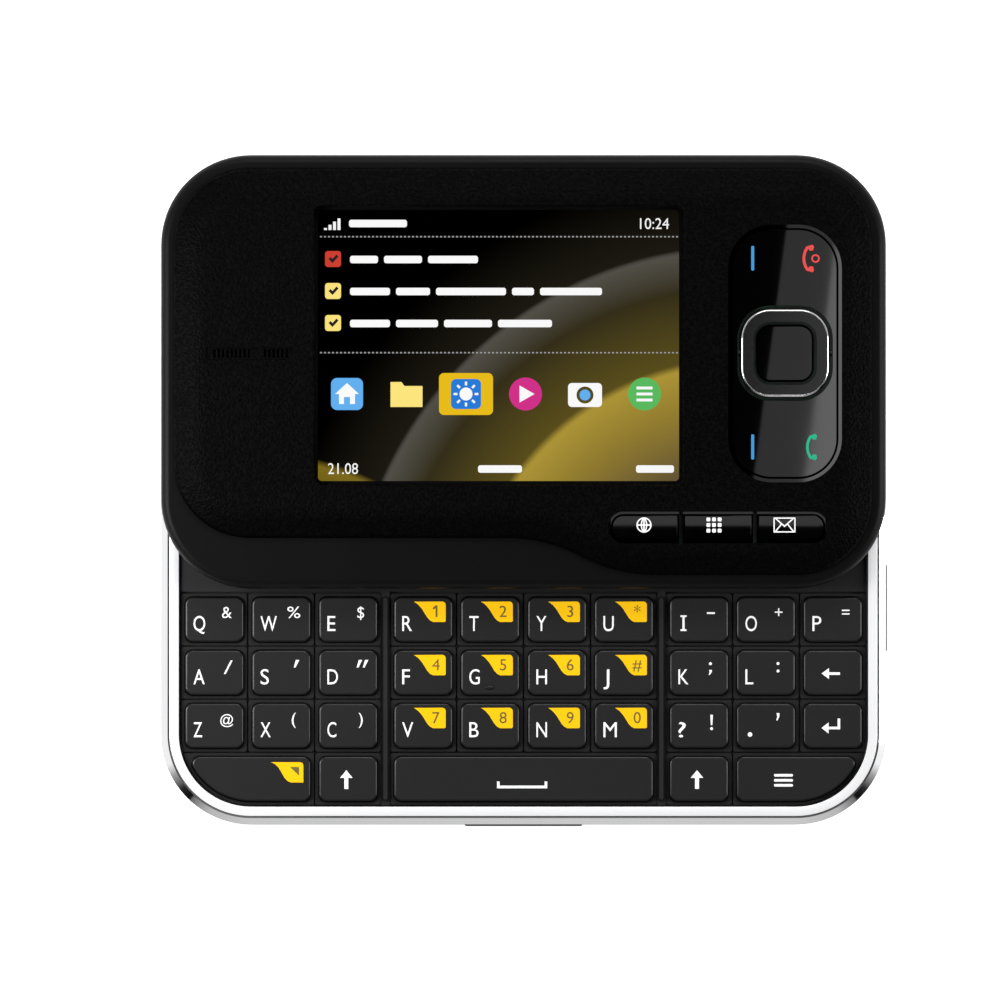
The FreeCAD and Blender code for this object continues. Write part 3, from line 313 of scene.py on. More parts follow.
@dataclass(frozen=True)
class Finish:
    """One solid finish of the phone.

    Attributes:
        name: The material's name.
        colour: Linear base colour.
        roughness: Middle roughness.
        metallic: 0 for plastic, 1 for metal.
        specular: Strength of a plastic's gloss.
        surface: The relief.
        scale: Cells per metre of the relief.
        relief: Depth of the relief in metres.
        vary: How much the roughness wanders.
        mottle: How much the colour wanders.
        ink: Share of the colour that the surface has when its own light is off.
        glow: Strength of its own light: real on the display, painted glow on the prints and the frame's
            inner band.
        painted_slope_shade: How much painted shade darkens and dulls the steep faces next to the flat top.
        slope_range: How far up a face looks where it is steep, and where it is flat.
    """

    name: str
    colour: Colour
    roughness: float = 0.4
    metallic: float = 0.0
    specular: float = 0.5
    surface: Surface = Surface.SATIN
    scale: float = 9000.0
    relief: float = 0.000004
    vary: float = 0.1
    mottle: float = 0.05
    ink: float = 1.0
    glow: float = 0.0
    painted_slope_shade: float = 0.0
    slope_range: Point = (0.75, 0.985)

    def build(self) -> bpy.types.Material:
        """Makes the material, or finds it if it is there already.

        Returns:
            The material.
        """
        found = bpy.data.materials.get(self.name)
        if found:
            return found
        material = bpy.data.materials.new(self.name)
        material.use_nodes = True
        material.diffuse_color = (*self.colour, 1.0)
        shader = material.node_tree.nodes["Principled BSDF"]
        shader.inputs["Metallic"].default_value = self.metallic
        shader.inputs["Specular IOR Level"].default_value = self.specular
        if self.glow:
            shader.inputs["Emission Color"].default_value = (*self.colour, 1.0)
            shader.inputs["Emission Strength"].default_value = self.glow
        self._relief(material, shader)
        return material

    def _relief(self, material: bpy.types.Material, shader: bpy.types.Node) -> None:
        """Adds the bump and the wandering colour and roughness.

        Args:
            material: The material being made.
            shader: Its main shader.
        """
        graph = Graph(material.node_tree)
        leather = self.surface is Surface.LEATHER
        group = graph.add("Group")
        group.node_tree = Shaders.grain() if leather else Shaders.speckle()
        group.inputs["Scale"].default_value = self.scale
        if self.surface is Surface.BRUSHED:
            group.inputs["Stretch"].default_value = BRUSHED_STRETCH
        if self.surface is not Surface.SMOOTH:
            bump = graph.add("Bump", Strength=1.0, Distance=self.relief)
            graph.feed(group.outputs["Height"], bump.inputs["Height"])
            graph.feed(bump.outputs["Normal"], shader.inputs["Normal"])
        rough = (max(0.02, self.roughness * (1 - self.vary)), min(1.0, self.roughness * (1 + self.vary)))
        graph.feed(graph.span(group.outputs["Mask"], NOISE_RANGE, rough), shader.inputs["Roughness"])
        dark, light = (
            (*(min(1.0, part * self.ink * share) for part in self.colour), 1.0)
            for share in (1 - self.mottle, 1 + self.mottle)
        )
        colour = graph.mix("MIX", group.outputs["Height" if leather else "Mask"], dark, light)
        # Painted shade: the steep faces get a darker colour and lose their gloss.
        if self.painted_slope_shade:
            colour = self._paint_slope_shade(graph, shader, colour)
        graph.feed(colour, shader.inputs["Base Color"])

    def _paint_slope_shade(self, graph: Graph, shader: bpy.types.Node, colour: Socket) -> Socket:
        """Paints shade on the steep faces round a flat top, and takes their gloss, as black metal has none.

        Args:
            graph: The material's tree.
            shader: Its main shader.
            colour: The colour so far.

        Returns:
            The shaded colour.
        """
        flat = graph.span(graph.axes("Normal")["Z"], self.slope_range, (1.0 - self.painted_slope_shade, 1.0))
        graph.feed(graph.maths("SUBTRACT", 1.0, flat), shader.inputs["Metallic"])
        return graph.mix("MULTIPLY", 1.0, colour, flat)


@dataclass(frozen=True)
class ClearGlass:
    """Thin clear glass whose outer side mirrors more at a slant.

    Attributes:
        name: The material's name.
        ior: How strongly it mirrors.
        roughness: How blurred its mirror image is.
    """

    name: str = "display_clear_glass"
    ior: float = 1.45
    roughness: float = 0.03

    def build(self) -> bpy.types.Material:
        """Makes the material.

        Returns:
            The material.
        """
        material = bpy.data.materials.new(self.name)
        material.use_nodes = True
        graph = Graph(material.node_tree)
        shader = graph.tree.nodes["Principled BSDF"]
        shader.inputs["Base Color"].default_value = (0.0, 0.0, 0.0, 1.0)
        shader.inputs["Roughness"].default_value = self.roughness
        mirror = graph.add("Fresnel", IOR=self.ior)
        outer = graph.maths("SUBTRACT", 1.0, graph.add("NewGeometry").outputs["Backfacing"])
        graph.feed(graph.maths("MULTIPLY", mirror.outputs["Fac"], outer), shader.inputs["Alpha"])
        return material


@dataclass(frozen=True)
class Wallpaper:
    """The lit background of the display: amber and grey arcs that fade into black.

    Attributes:
        name: The material's name.
        arcs: Centre in photo pixels and reach in pixels of each family of arcs.
        colours: Colours of each family from its centre to its reach.
        strength: Brightness of its own light.
    """

    name: str = "lit_background"
    arcs: tuple[tuple[float, float, float], ...] = ((742.0, 640.0, 470.0), (250.0, 735.0, 420.0))
    colours: tuple[Stops, ...] = (
        (
            (0.0, (0.05, 0.035, 0.01)), (0.36, (0.11, 0.08, 0.035)), (0.5, (0.30, 0.21, 0.03)),
            (0.585, (0.42, 0.30, 0.04)), (0.60, (0.10, 0.075, 0.012)), (0.75, (0.035, 0.028, 0.01)),
            (0.83, (0.085, 0.08, 0.065)), (0.84, (0.012, 0.01, 0.006)), (1.0, (0.0, 0.0, 0.0)),
        ),
        (
            (0.0, (0.0, 0.0, 0.0)), (0.50, (0.06, 0.04, 0.0)), (0.66, (0.20, 0.14, 0.01)),
            (0.675, (0.0, 0.0, 0.0)), (1.0, (0.0, 0.0, 0.0)),
        ),
    )
    strength: float = 1.0

    def build(self) -> bpy.types.Material:
        """Makes the material.

        Returns:
            The material.
        """
        material = bpy.data.materials.new(self.name)
        material.use_nodes = True
        graph = Graph(material.node_tree)
        shader = graph.tree.nodes["Principled BSDF"]
        shader.inputs["Base Color"].default_value = (0.0, 0.0, 0.0, 1.0)
        shader.inputs["Roughness"].default_value = 0.4
        shader.inputs["Specular IOR Level"].default_value = 0.0
        shader.inputs["Emission Strength"].default_value = self.strength
        place = graph.add("TexCoord").outputs["Object"]
        families = []
        for (x, y, reach), stops in zip(self.arcs, self.colours):
            centre = Vector((*photo_point(x, y), Display.picture_height)) * MM
            distance = graph.add("VectorMath")
            distance.operation = "DISTANCE"
            distance.inputs[1].default_value = centre
            graph.feed(place, distance.inputs[0])
            share = graph.span(distance.outputs["Value"], (0.0, reach / PIXELS_PER_MM * MM))
            families.append(graph.ramp(share, stops))
        graph.feed(graph.mix("ADD", 1.0, *families), shader.inputs["Emission Color"])
        return material


# Painted shade darkens the steep faces of the leather, the keys and the gloss black.
LEATHER = Finish(
    "front_leather_grain", (0.0019, 0.0019, 0.0019), 0.46, specular=0.018, surface=Surface.LEATHER,
    scale=2700.0, relief=0.0001, vary=0.2, mottle=0.95, painted_slope_shade=0.5,
)
BACK_LEATHER = Finish(
    "back_leather_grain", (0.006, 0.006, 0.0062), 0.55, specular=0.25, surface=Surface.LEATHER,
    scale=2400.0, relief=0.00003, vary=0.25, mottle=0.3,
)
RIM = Finish("rim_satin", (0.005, 0.005, 0.005), 0.42, specular=0.095, relief=0.000002, vary=0.06)
BACK = Finish("back_satin", (0.012, 0.012, 0.0125), 0.45, specular=0.4, relief=0.000005)
KEY = Finish(
    "key_satin", (0.024, 0.024, 0.0243), 0.3, specular=0.3, relief=0.000003, vary=0.08, painted_slope_shade=0.75
)
FRAME_SIDE = Finish("frame_side_silver", (0.34, 0.34, 0.35), 0.33, metallic=1.0, relief=0.000002)
DECK = Finish("deck_satin", (0.02, 0.02, 0.0204), 0.5, specular=0.3, relief=0.000003)
GLOSS = Finish(
    "gloss_black", (0.0008, 0.0008, 0.0008), 0.03, surface=Surface.SMOOTH, vary=0.2, painted_slope_shade=1.0,
    slope_range=(0.95, 0.9995),
)
CHROME = Finish("polished_chrome", (0.93, 0.93, 0.94), 0.07, metallic=1.0, surface=Surface.SMOOTH)
# The frame's inner band glows a little: painted light, not a lamp.
FRAME_WHITE_PAINTED_GLOW = Finish("frame_white_satin_painted_glow", (0.86, 0.86, 0.87), 0.3, metallic=0.4, relief=0.000002, glow=0.5)
SEAM = Finish("seam_grey", (0.2, 0.2, 0.2), 0.5, metallic=0.6)
RING_FACE = Finish("ring_face", (0.028, 0.028, 0.0285), 0.2, metallic=0.8, relief=0.000002)
STEEL = Finish("drawn_steel", (0.45, 0.45, 0.46), 0.3, metallic=1.0, surface=Surface.BRUSHED)
SIDE_GREY = Finish("capture_key_grey", (0.07, 0.07, 0.072), 0.45, metallic=0.3)
BOARD = Finish("solder_mask", (0.01, 0.09, 0.035), 0.3, vary=0.25, mottle=0.25)
WRAP = Finish("battery_wrap_print", (0.2, 0.21, 0.22), 0.4)
# Painted shade: a near-black line along the edges of the ridges between the key banks.
RIDGE_EDGE_SHADE = Finish("ridge_edge_painted_shade", (0.003, 0.003, 0.003), 0.6, specular=0.1)
DARK = Finish("dark_moulding", (0.01, 0.01, 0.01), 0.5)
PANEL_DARK = Finish("panel_dark", (0.002, 0.002, 0.002), 0.5, specular=0.1)
# The white prints, the yellow patches and the panel's coloured signs glow: painted light, not lamps.
LEGEND_PAINTED_GLOW = Finish("legend_white_painted_glow", (0.82, 0.82, 0.82), 0.5, specular=0.2, glow=0.45, vary=0.03)
YELLOW_PAINTED_GLOW = Finish("patch_yellow_painted_glow", (0.88, 0.5, 0.006), 0.5, specular=0.1, glow=0.38, vary=0.04)
PATCH_SIGN = Finish("patch_sign", (0.20, 0.16, 0.05), 0.5, specular=0.1, vary=0.05)
BLUE_SIGN_PAINTED_GLOW = Finish("sign_blue_painted_glow", (0.03, 0.19, 0.42), 0.4, glow=0.7, vary=0.05)
RED_SIGN_PAINTED_GLOW = Finish("sign_red_painted_glow", (0.50, 0.045, 0.04), 0.4, glow=0.7, vary=0.05)
GREEN_SIGN_PAINTED_GLOW = Finish("sign_green_painted_glow", (0.01, 0.28, 0.15), 0.4, glow=0.7, vary=0.05)


class Lit(Enum):
    """Colours that the display shows, as they look on it."""

    WHITE = (0.93, 0.93, 0.93)
    GREY = (0.33, 0.33, 0.33)
    GOLD = (0.78, 0.49, 0.01)
    PALE_GOLD = (0.95, 0.76, 0.20)
    BLUE = (0.02, 0.19, 0.66)
    SKY = (0.12, 0.42, 0.85)
    MAGENTA = (0.62, 0.03, 0.24)
    GREEN = (0.10, 0.48, 0.11)
    RED = (0.60, 0.05, 0.03)
    NIGHT = (0.015, 0.015, 0.02)

    def finish(self) -> Finish:
        """The finish of a lit sign in this colour."""
        name = f"lit_{self.name.lower()}"
        return Finish(
            name, self.value, 0.5, specular=0.0, surface=Surface.SMOOTH, mottle=0.02, ink=0.1, glow=0.95
        )


NODE_FINISH = {
    "rear_shell": BACK, "base_frame": FRAME_SIDE, "battery": WRAP, "battery_cover": BACK_LEATHER,
    "camera_module": GLOSS, "loudspeaker": DARK, "main_board": BOARD, "keyboard_deck": DECK,
    "slide_rails": STEEL, "assist_spring": STEEL, "volume_rocker": DARK, "capture_key": SIDE_GREY,
    "slider_housing": RIM, "slide_carriage": STEEL, "front_cover": LEATHER, "display_window": ClearGlass(),
    "display_module": PANEL_DARK, "slider_board": BOARD, "earpiece": DARK, "keypad_plate": GLOSS,
    "navi_ring": RING_FACE, "navi_key": GLOSS, "shortcut_web": GLOSS, "shortcut_menu": GLOSS,
    "shortcut_mail": GLOSS,
}


class Tools:
    """Mesh work with operators. Pieces are shaped in millimetres."""

    @staticmethod
    def only(piece: bpy.types.Object) -> None:
        """Selects one object and makes it active.

        Args:
            piece: The object.
        """
        bpy.ops.object.select_all(action="DESELECT")
        piece.select_set(True)
        bpy.context.view_layer.objects.active = piece

    @classmethod
    def settle(cls, piece: bpy.types.Object, name: str, finish: Look, node: str) -> None:
        """Brings a piece from millimetres to metres, names it, dresses it and lets it ride.

        Args:
            piece: The piece, in millimetres.
            name: Its name.
            finish: Its finish.
            node: The node that it lies on.
        """
        cls.only(piece)
        bpy.ops.object.transform_apply(location=True, rotation=True, scale=True)
        piece.scale = (MM, MM, MM)
        bpy.ops.object.transform_apply(location=False, rotation=False, scale=True)
        piece.name = name
        piece.data.name = name
        piece.data.materials.clear()
        piece.data.materials.append(finish.build())
        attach(piece, NODE_BODY[node])

    @classmethod
    def join(cls, pieces: list[bpy.types.Object]) -> bpy.types.Object:
        """Joins several meshes into the first.

        Args:
            pieces: The meshes.

        Returns:
            The joined mesh.
        """
        cls.only(pieces[0])
        for piece in pieces:
            piece.select_set(True)
        if len(pieces) > 1:
            bpy.ops.object.join()
        return pieces[0]

    @classmethod
    def plate(cls, outlines: list[Outline], height: float) -> bpy.types.Object:
        """A thin flat plate with the given outlines. An outline within another is a hole.

        Args:
            outlines: Closed outlines, in photo pixels.
            height: Height of its underside, in millimetres.

        Returns:
            The mesh, in millimetres.
        """
        curve = bpy.data.curves.new("plate", "CURVE")
        curve.dimensions = "2D"
        curve.fill_mode = "BOTH"
        curve.extrude = PRINT_THICKNESS / 2
        for outline in outlines:
            spline = curve.splines.new("POLY")
            spline.points.add(len(outline) - 1)
            for point, place in zip(spline.points, outline):
                point.co = (*photo_point(*place), 0.0, 1.0)
            spline.use_cyclic_u = True
        plate = bpy.data.objects.new("plate", curve)
        bpy.context.scene.collection.objects.link(plate)
        cls.only(plate)
        bpy.ops.object.convert(target="MESH")
        plate = bpy.context.object
        plate.location.z = height + PRINT_THICKNESS / 2
        bpy.ops.object.transform_apply(location=True, rotation=True, scale=True)
        return plate

    @classmethod
    def sign(cls, name: str, outlines: list[Outline], height: float, finish: Look, node: str) -> None:
        """Prints flat outlines on a node.

        Args:
            name: The piece's name.
            outlines: Closed outlines, in photo pixels.
            height: Height of the face below them, in millimetres.
            finish: Their finish.
            node: The node.
        """
        cls.settle(cls.plate(outlines, height), name, finish, node)

    @classmethod
    def letter(
        cls, text: str, x: float, base: float, height: float, tall: float, wide: float = 0.0,
        middle: bool = False,
    ) -> bpy.types.Object:
        """Printed characters as a thin mesh.

        Args:
            text: The characters.
            x: Left edge or middle, in millimetres.
            base: Base line, in millimetres.
            height: Height of its underside.
            tall: Height of a capital letter.
            wide: Width in millimetres, or 0 for the typeface's own.
            middle: Whether x is the middle.

        Returns:
            The mesh, in millimetres.
        """
        bpy.ops.object.text_add(location=(0, 0, 0))
        letter = bpy.context.object
        letter.data.body = text
        letter.data.size = tall / CAPITAL_SHARE
        letter.data.extrude = PRINT_THICKNESS / 2
        letter.data.resolution_u = 4
        bpy.ops.object.convert(target="MESH")
        letter = bpy.context.object
        edges = [corner[0] for corner in letter.bound_box]
        start = (min(edges) + max(edges)) / 2 if middle else min(edges)
        narrow = wide / (max(edges) - min(edges)) if wide else 1.0
        letter.scale = (narrow, 1.0, 1.0)
        letter.location = (x - start * narrow, base, height + PRINT_THICKNESS / 2)
        bpy.ops.object.transform_apply(location=True, rotation=True, scale=True)
        return letter

    @classmethod
    def band(cls, half: Point, middle: Point, corner: float, steps: list[Point]) -> bpy.types.Object:
        """A closed band round a rounded rectangle, from insets of a filled outline.

        Args:
            half: Half width and half depth of the outer outline.
            middle: The outline's middle.
            corner: Radius of its corners.
            steps: Inset and height of each edge of the band. The first one's inset is the
                outline's own, and later ones lie further in.

        Returns:
            The mesh, in millimetres, open on the inside.
        """
        first_in, first_height = steps[0]
        bpy.ops.mesh.primitive_plane_add(size=2.0, location=(*middle, first_height))
        band = bpy.context.object
        band.scale = (half[0] - first_in, half[1] - first_in, 1.0)
        bpy.ops.object.transform_apply(location=True, rotation=True, scale=True)
        bpy.ops.object.mode_set(mode="EDIT")
        bpy.ops.mesh.select_all(action="SELECT")
        bpy.ops.mesh.bevel(offset=corner - first_in, segments=CIRCLE_STEPS, affect="VERTICES")
        bpy.ops.mesh.select_all(action="SELECT")
        for (inner, low), (outer, high) in zip(steps[1:], steps[:-1]):
            bpy.ops.mesh.inset(thickness=inner - outer, depth=low - high, use_even_offset=True)
        bpy.ops.mesh.delete(type="ONLY_FACE")
        bpy.ops.object.mode_set(mode="OBJECT")
        bpy.ops.object.shade_smooth_by_angle(angle=SMOOTH_ANGLE)
        return band

    @classmethod
    def node_copy(cls, node: str, finish: Look, reaches: str = "") -> None:
        """Puts a copy in a node's place, with loose triangles merged and round faces shaded smooth.

        Args:
            node: The node.
            finish: The copy's finish.
            reaches: The body that holds its back end, where it bends between two bodies.
        """
        source = FRAME["nodes"][node]
        copy = source.copy()
        copy.data = source.data.copy()
        for key in list(copy.keys()):
            del copy[key]
        copy.parent = None
        bpy.context.scene.collection.objects.link(copy)
        cls.only(copy)
        bpy.ops.mesh.customdata_custom_splitnormals_clear()
        bpy.ops.object.mode_set(mode="EDIT")
        bpy.ops.mesh.select_all(action="SELECT")
        bpy.ops.mesh.remove_doubles(threshold=MERGE_DISTANCE)
        bpy.ops.mesh.dissolve_limited(angle_limit=FLAT_ANGLE)
        bpy.ops.object.mode_set(mode="OBJECT")
        bpy.ops.object.shade_smooth_by_angle(angle=SMOOTH_ANGLE)
        weighted = copy.modifiers.new("even_faces", "WEIGHTED_NORMAL")
        weighted.keep_sharp = True
        bpy.ops.object.modifier_apply(modifier=weighted.name)
        copy.name = f"{node}_look"
        copy.data.name = copy.name
        copy.data.materials.clear()
        copy.data.materials.append(finish.build())
        if reaches:
            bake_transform(copy)
        else:
            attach(copy, NODE_BODY[node])
        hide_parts(node)


class Shapes:
    """Outlines of flat signs, in the pixels of the photograph."""

    @staticmethod
    def box(left: float, top: float, right: float, bottom: float, corner: float = 0.0) -> Outline:
        """A box with round corners.

        Args:
            left: Its left edge.
            top: Its top edge.
            right: Its right edge.
            bottom: Its bottom edge.
            corner: Radius of its corners.

        Returns:
            The outline.
        """
        if corner <= 0.0:
            return [(left, top), (right, top), (right, bottom), (left, bottom)]
        outline = []
        for x, y, start in (
            (right - corner, top + corner, -90),
            (right - corner, bottom - corner, 0),
            (left + corner, bottom - corner, 90),
            (left + corner, top + corner, 180),
        ):
            outline += Shapes.arc(x, y, corner, start, start + 90, 6)
        return outline

    @staticmethod
    def tile(x: float, y: float, wide: float, tall: float, corner: float = 0.0) -> Outline:
        """A box with its middle at x and y, and half its sides in wide and tall."""
        return Shapes.box(x - wide, y - tall, x + wide, y + tall, corner)

    @staticmethod
    def arc(x: float, y: float, radius: float, start: float, end: float, steps: int = 16) -> Outline:
        """Points along an arc.

        Args:
            x: Middle.
            y: Middle.
            radius: Radius.
            start: First angle in degrees, clockwise from the right.
            end: Last angle.
            steps: Number of chords.

        Returns:
            The points.
        """
        turns = [math.radians(start + (end - start) * step / steps) for step in range(steps + 1)]
        return [(x + radius * math.cos(turn), y + radius * math.sin(turn)) for turn in turns]

    @staticmethod
    def disc(x: float, y: float, radius: float) -> Outline:
        """A full circle."""
        return Shapes.arc(x, y, radius, 0, 360, CIRCLE_STEPS)[:-1]

    @staticmethod
    def stroke(x: float, y: float, radius: float, width: float, start: float, end: float) -> Outline:
        """A curved line of even width along an arc.

        Args:
            x: Middle of the arc.
            y: Middle of the arc.
            radius: Radius of the line's middle.
            width: Width of the line.
            start: First angle in degrees, clockwise from the right.
            end: Last angle.

        Returns:
            The outline.
        """
        outer = Shapes.arc(x, y, radius + width / 2, start, end)
        inner = Shapes.arc(x, y, radius - width / 2, end, start)
        return outer + inner

    @staticmethod
    def moved(outline: Outline, x: float, y: float, scale: float = 1.0, turn: float = 0.0) -> Outline:
        """The outline turned and scaled about its origin, then moved.

        Args:
            outline: The outline.
            x: Move to the right.
            y: Move down.
            scale: Factor.
            turn: Degrees, clockwise.

        Returns:
            The outline in its new place.
        """
        cos, sin = math.cos(math.radians(turn)), math.sin(math.radians(turn))
        return [(x + scale * (a * cos - b * sin), y + scale * (a * sin + b * cos)) for a, b in outline]


@dataclass
class Studio:
    """Floor, light and camera.

    Attributes:
        centre: What the camera looks at, in millimetres.
        view_width: Width of the picture.
        camera_height: Height of the camera.
        floor_half: Half the floor's side.
        card_height: Height of the flat lights that gloss mirrors.
        paper: The floor's finish.
        turning: Brightness of the surroundings from front to back, as share of the half turn and grey.
        overhead_edge: Where the surroundings begin and end to darken upwards, as height on the unit ball.
        under_edge: Where they turn white downwards.
        floor_gap: Gap between the phone and the floor.
        clip: Nearest and furthest that the camera sees, in metres.
    """

    centre: Point = photo_point(PHOTO_PIXELS / 2, PHOTO_PIXELS / 2)
    view_width: float = PHOTO_PIXELS / PIXELS_PER_MM
    camera_height: float = 400.0
    floor_half: float = 1500.0
    card_height: float = 100.0
    paper: Finish = Finish("studio_paper", (0.9, 0.9, 0.9), 0.9, specular=0.0, glow=1.1, vary=0.0)
    turning: tuple[Point, ...] = (
        (0.0, 0.62), (0.16, 0.5), (0.235, 0.16), (0.242, 0.0), (0.29, 0.02), (0.345, 0.35), (0.39, 0.95),
        (1.0, 1.0),
    )
    overhead_edge: Point = (0.46, 0.6)
    under_edge: Point = (-0.02, -0.06)
    floor_gap: float = 0.02
    clip: Point = (0.01, 10.0)

    def build(self) -> None:
        """Makes the whole studio."""
        bpy.context.scene.view_settings.view_transform = "Standard"
        self.camera()
        self.floor()
        self.world()
        self.lamp("left_box", (-124.0, -6.0, 104.0), (60.0, 60.0), 0.17)
        self.lamp("back_box", (20.0, 200.0, 190.0), (160.0, 90.0), 0.25)
        self.lamp("right_box", (260.0, -10.0, 150.0), (90.0, 150.0), 0.38)
        self.overhead("panel_gleam", (770.5, 215.0, 900.0, 495.0), -7.5, 0.7, self.card_height)
        self.overhead("panel_gleam_right", (822.0, 200.0, 904.0, 500.0), -7.5, 2.2, 3 * self.card_height)
        self.overhead("shortcut_gleam", (604.0, 509.0, 832.0, 525.5), 0.0, 0.9, self.card_height)
        LOG.info("studio")

    def camera(self) -> None:
        """A camera straight above, with no perspective."""
        bpy.ops.object.camera_add(location=Vector((*self.centre, self.camera_height)) * MM)
        camera = bpy.context.object
        camera.rotation_euler = (0.0, 0.0, 0.0)
        camera.data.type = "ORTHO"
        camera.data.ortho_scale = self.view_width * MM
        camera.data.clip_start, camera.data.clip_end = self.clip
        bpy.context.scene.camera = camera

    def floor(self) -> None:
        """A pale floor bright enough to read as white paper."""
        bpy.ops.mesh.primitive_grid_add(x_subdivisions=4, y_subdivisions=4, size=2 * self.floor_half * MM)
        floor = bpy.context.object
        floor.name = "studio_floor"
        floor.data.materials.append(self.paper.build())
        floor.location.z = -self.floor_gap * MM

    def world(self) -> None:
        """Surroundings that are pale low down and dark overhead, with a dark edge on each near diagonal.

        Below the floor they are white, because a low camera looks under the floor's edge.
        """
        world = bpy.data.worlds.new("surroundings")
        bpy.context.scene.world = world
        world.use_nodes = True
        graph = Graph(world.node_tree)
        axes = graph.axes("Generated")
        turn = graph.maths("ARCTAN2", axes["Y"], graph.maths("ABSOLUTE", axes["X"]))
        share = graph.span(turn, (-math.pi / 2, math.pi / 2))
        around = graph.ramp(share, tuple((place, (grey, grey, grey)) for place, grey in self.turning))
        low = graph.span(axes["Z"], self.overhead_edge, (1.0, 0.0))
        under = graph.span(axes["Z"], self.under_edge)
        colour = graph.mix("LIGHTEN", 1.0, graph.mix("MULTIPLY", 1.0, around, low), under)
        graph.feed(colour, graph.tree.nodes["Background"].inputs["Color"])

    def lamp(
        self, name: str, place: tuple[float, float, float], size: Point, power: float
    ) -> bpy.types.Object:
        """One soft box that looks at the phone.

        Args:
            name: The lamp's name.
            place: Its middle in millimetres.
            size: Its sides in millimetres.
            power: Its power in watts.

        Returns:
            The lamp.
        """
        bpy.ops.object.light_add(type="AREA", location=Vector(place) * MM)
        lamp = bpy.context.object
        lamp.name = name
        lamp.data.shape = "RECTANGLE"
        lamp.data.size = size[0] * MM
        lamp.data.size_y = size[1] * MM
        lamp.data.energy = power
        lamp.rotation_mode = "QUATERNION"
        lamp.rotation_quaternion = (-Vector(place)).to_track_quat("-Z", "Y")
        return lamp

    def overhead(
        self, name: str, area: tuple[float, float, float, float], turn: float, bright: float, height: float
    ) -> None:
        """A flat light straight above an area, which shows as its mirror image in gloss there.

        Args:
            name: The lamp's name.
            area: Left, top, right and bottom in photo pixels.
            turn: Turn in degrees, against the clock.
            bright: Brightness of the light's face.
            height: Its height in millimetres, which softens its edges.
        """
        left, high = photo_point(area[0], area[1])
        right, low = photo_point(area[2], area[3])
        size = (right - left, high - low)
        power = bright * math.pi * size[0] * size[1] * MM * MM
        lamp = self.lamp(name, (0.0, 0.0, 1.0), size, power)
        lamp.location = Vector(((left + right) / 2, (high + low) / 2, height)) * MM
        lamp.rotation_mode = "XYZ"
        lamp.rotation_euler = (0.0, 0.0, math.radians(turn))


@dataclass
class Casing:
    """Every node of the frame in its own finish.

    Attributes:
        plain: The finish of a node that has none of its own.
        reaches: The second body that a bending node is fixed to, by node.
    """

    plain: Finish = KEY
    reaches: dict[str, str] = field(default_factory=lambda: {"assist_spring": "slider"})

    def build(self) -> None:
        """Dresses all nodes."""
        for node in sorted(FRAME["nodes"]):
            Tools.node_copy(node, NODE_FINISH.get(node, self.plain), self.reaches.get(node, ""))
        LOG.info("dressed %d nodes", len(FRAME["nodes"]))


@dataclass
class BrightFrame:
    """The two bright bands round the keyboard half, with the seam between them. The inner band's glow is
    painted light.

    Attributes:
        half: Half width and half depth of the frame, in millimetres as all of them.
        middle: Its middle.
        corner: Radius of its corners.
        lift: How far the bands stand over the frame.
        outer: Inset and height of each edge of the outer band.
        seam: The same for the seam.
        inner: The same for the inner band.
    """

    half: Point = (48.75, 29.15)
    middle: Point = (0.0, -15.87)
    corner: float = 12.1
    lift: float = 0.02
    outer: tuple[Point, ...] = ((0.03, 8.42), (0.25, 8.6), (0.6, 8.83), (0.88, 9.0))
    seam: tuple[Point, ...] = ((0.88, 9.0), (0.95, 8.9), (1.1, 8.9), (1.16, 9.0))
    inner: tuple[Point, ...] = ((1.16, 9.0), (1.25, 9.03), (2.25, 9.03), (2.38, 8.98), (2.4, 8.5))

    def build(self) -> None:
        """Makes the bands."""
        for name, steps, finish in (
            ("frame_outer_band", self.outer, CHROME),
            ("frame_seam_line", self.seam, SEAM),
            ("frame_inner_band", self.inner, FRAME_WHITE_PAINTED_GLOW),
        ):
            lifted = [(inset, height + self.lift) for inset, height in steps]
            band = Tools.band(self.half, self.middle, self.corner, lifted)
            Tools.settle(band, name, finish, "base_frame")
            LOG.info("made %s", name)


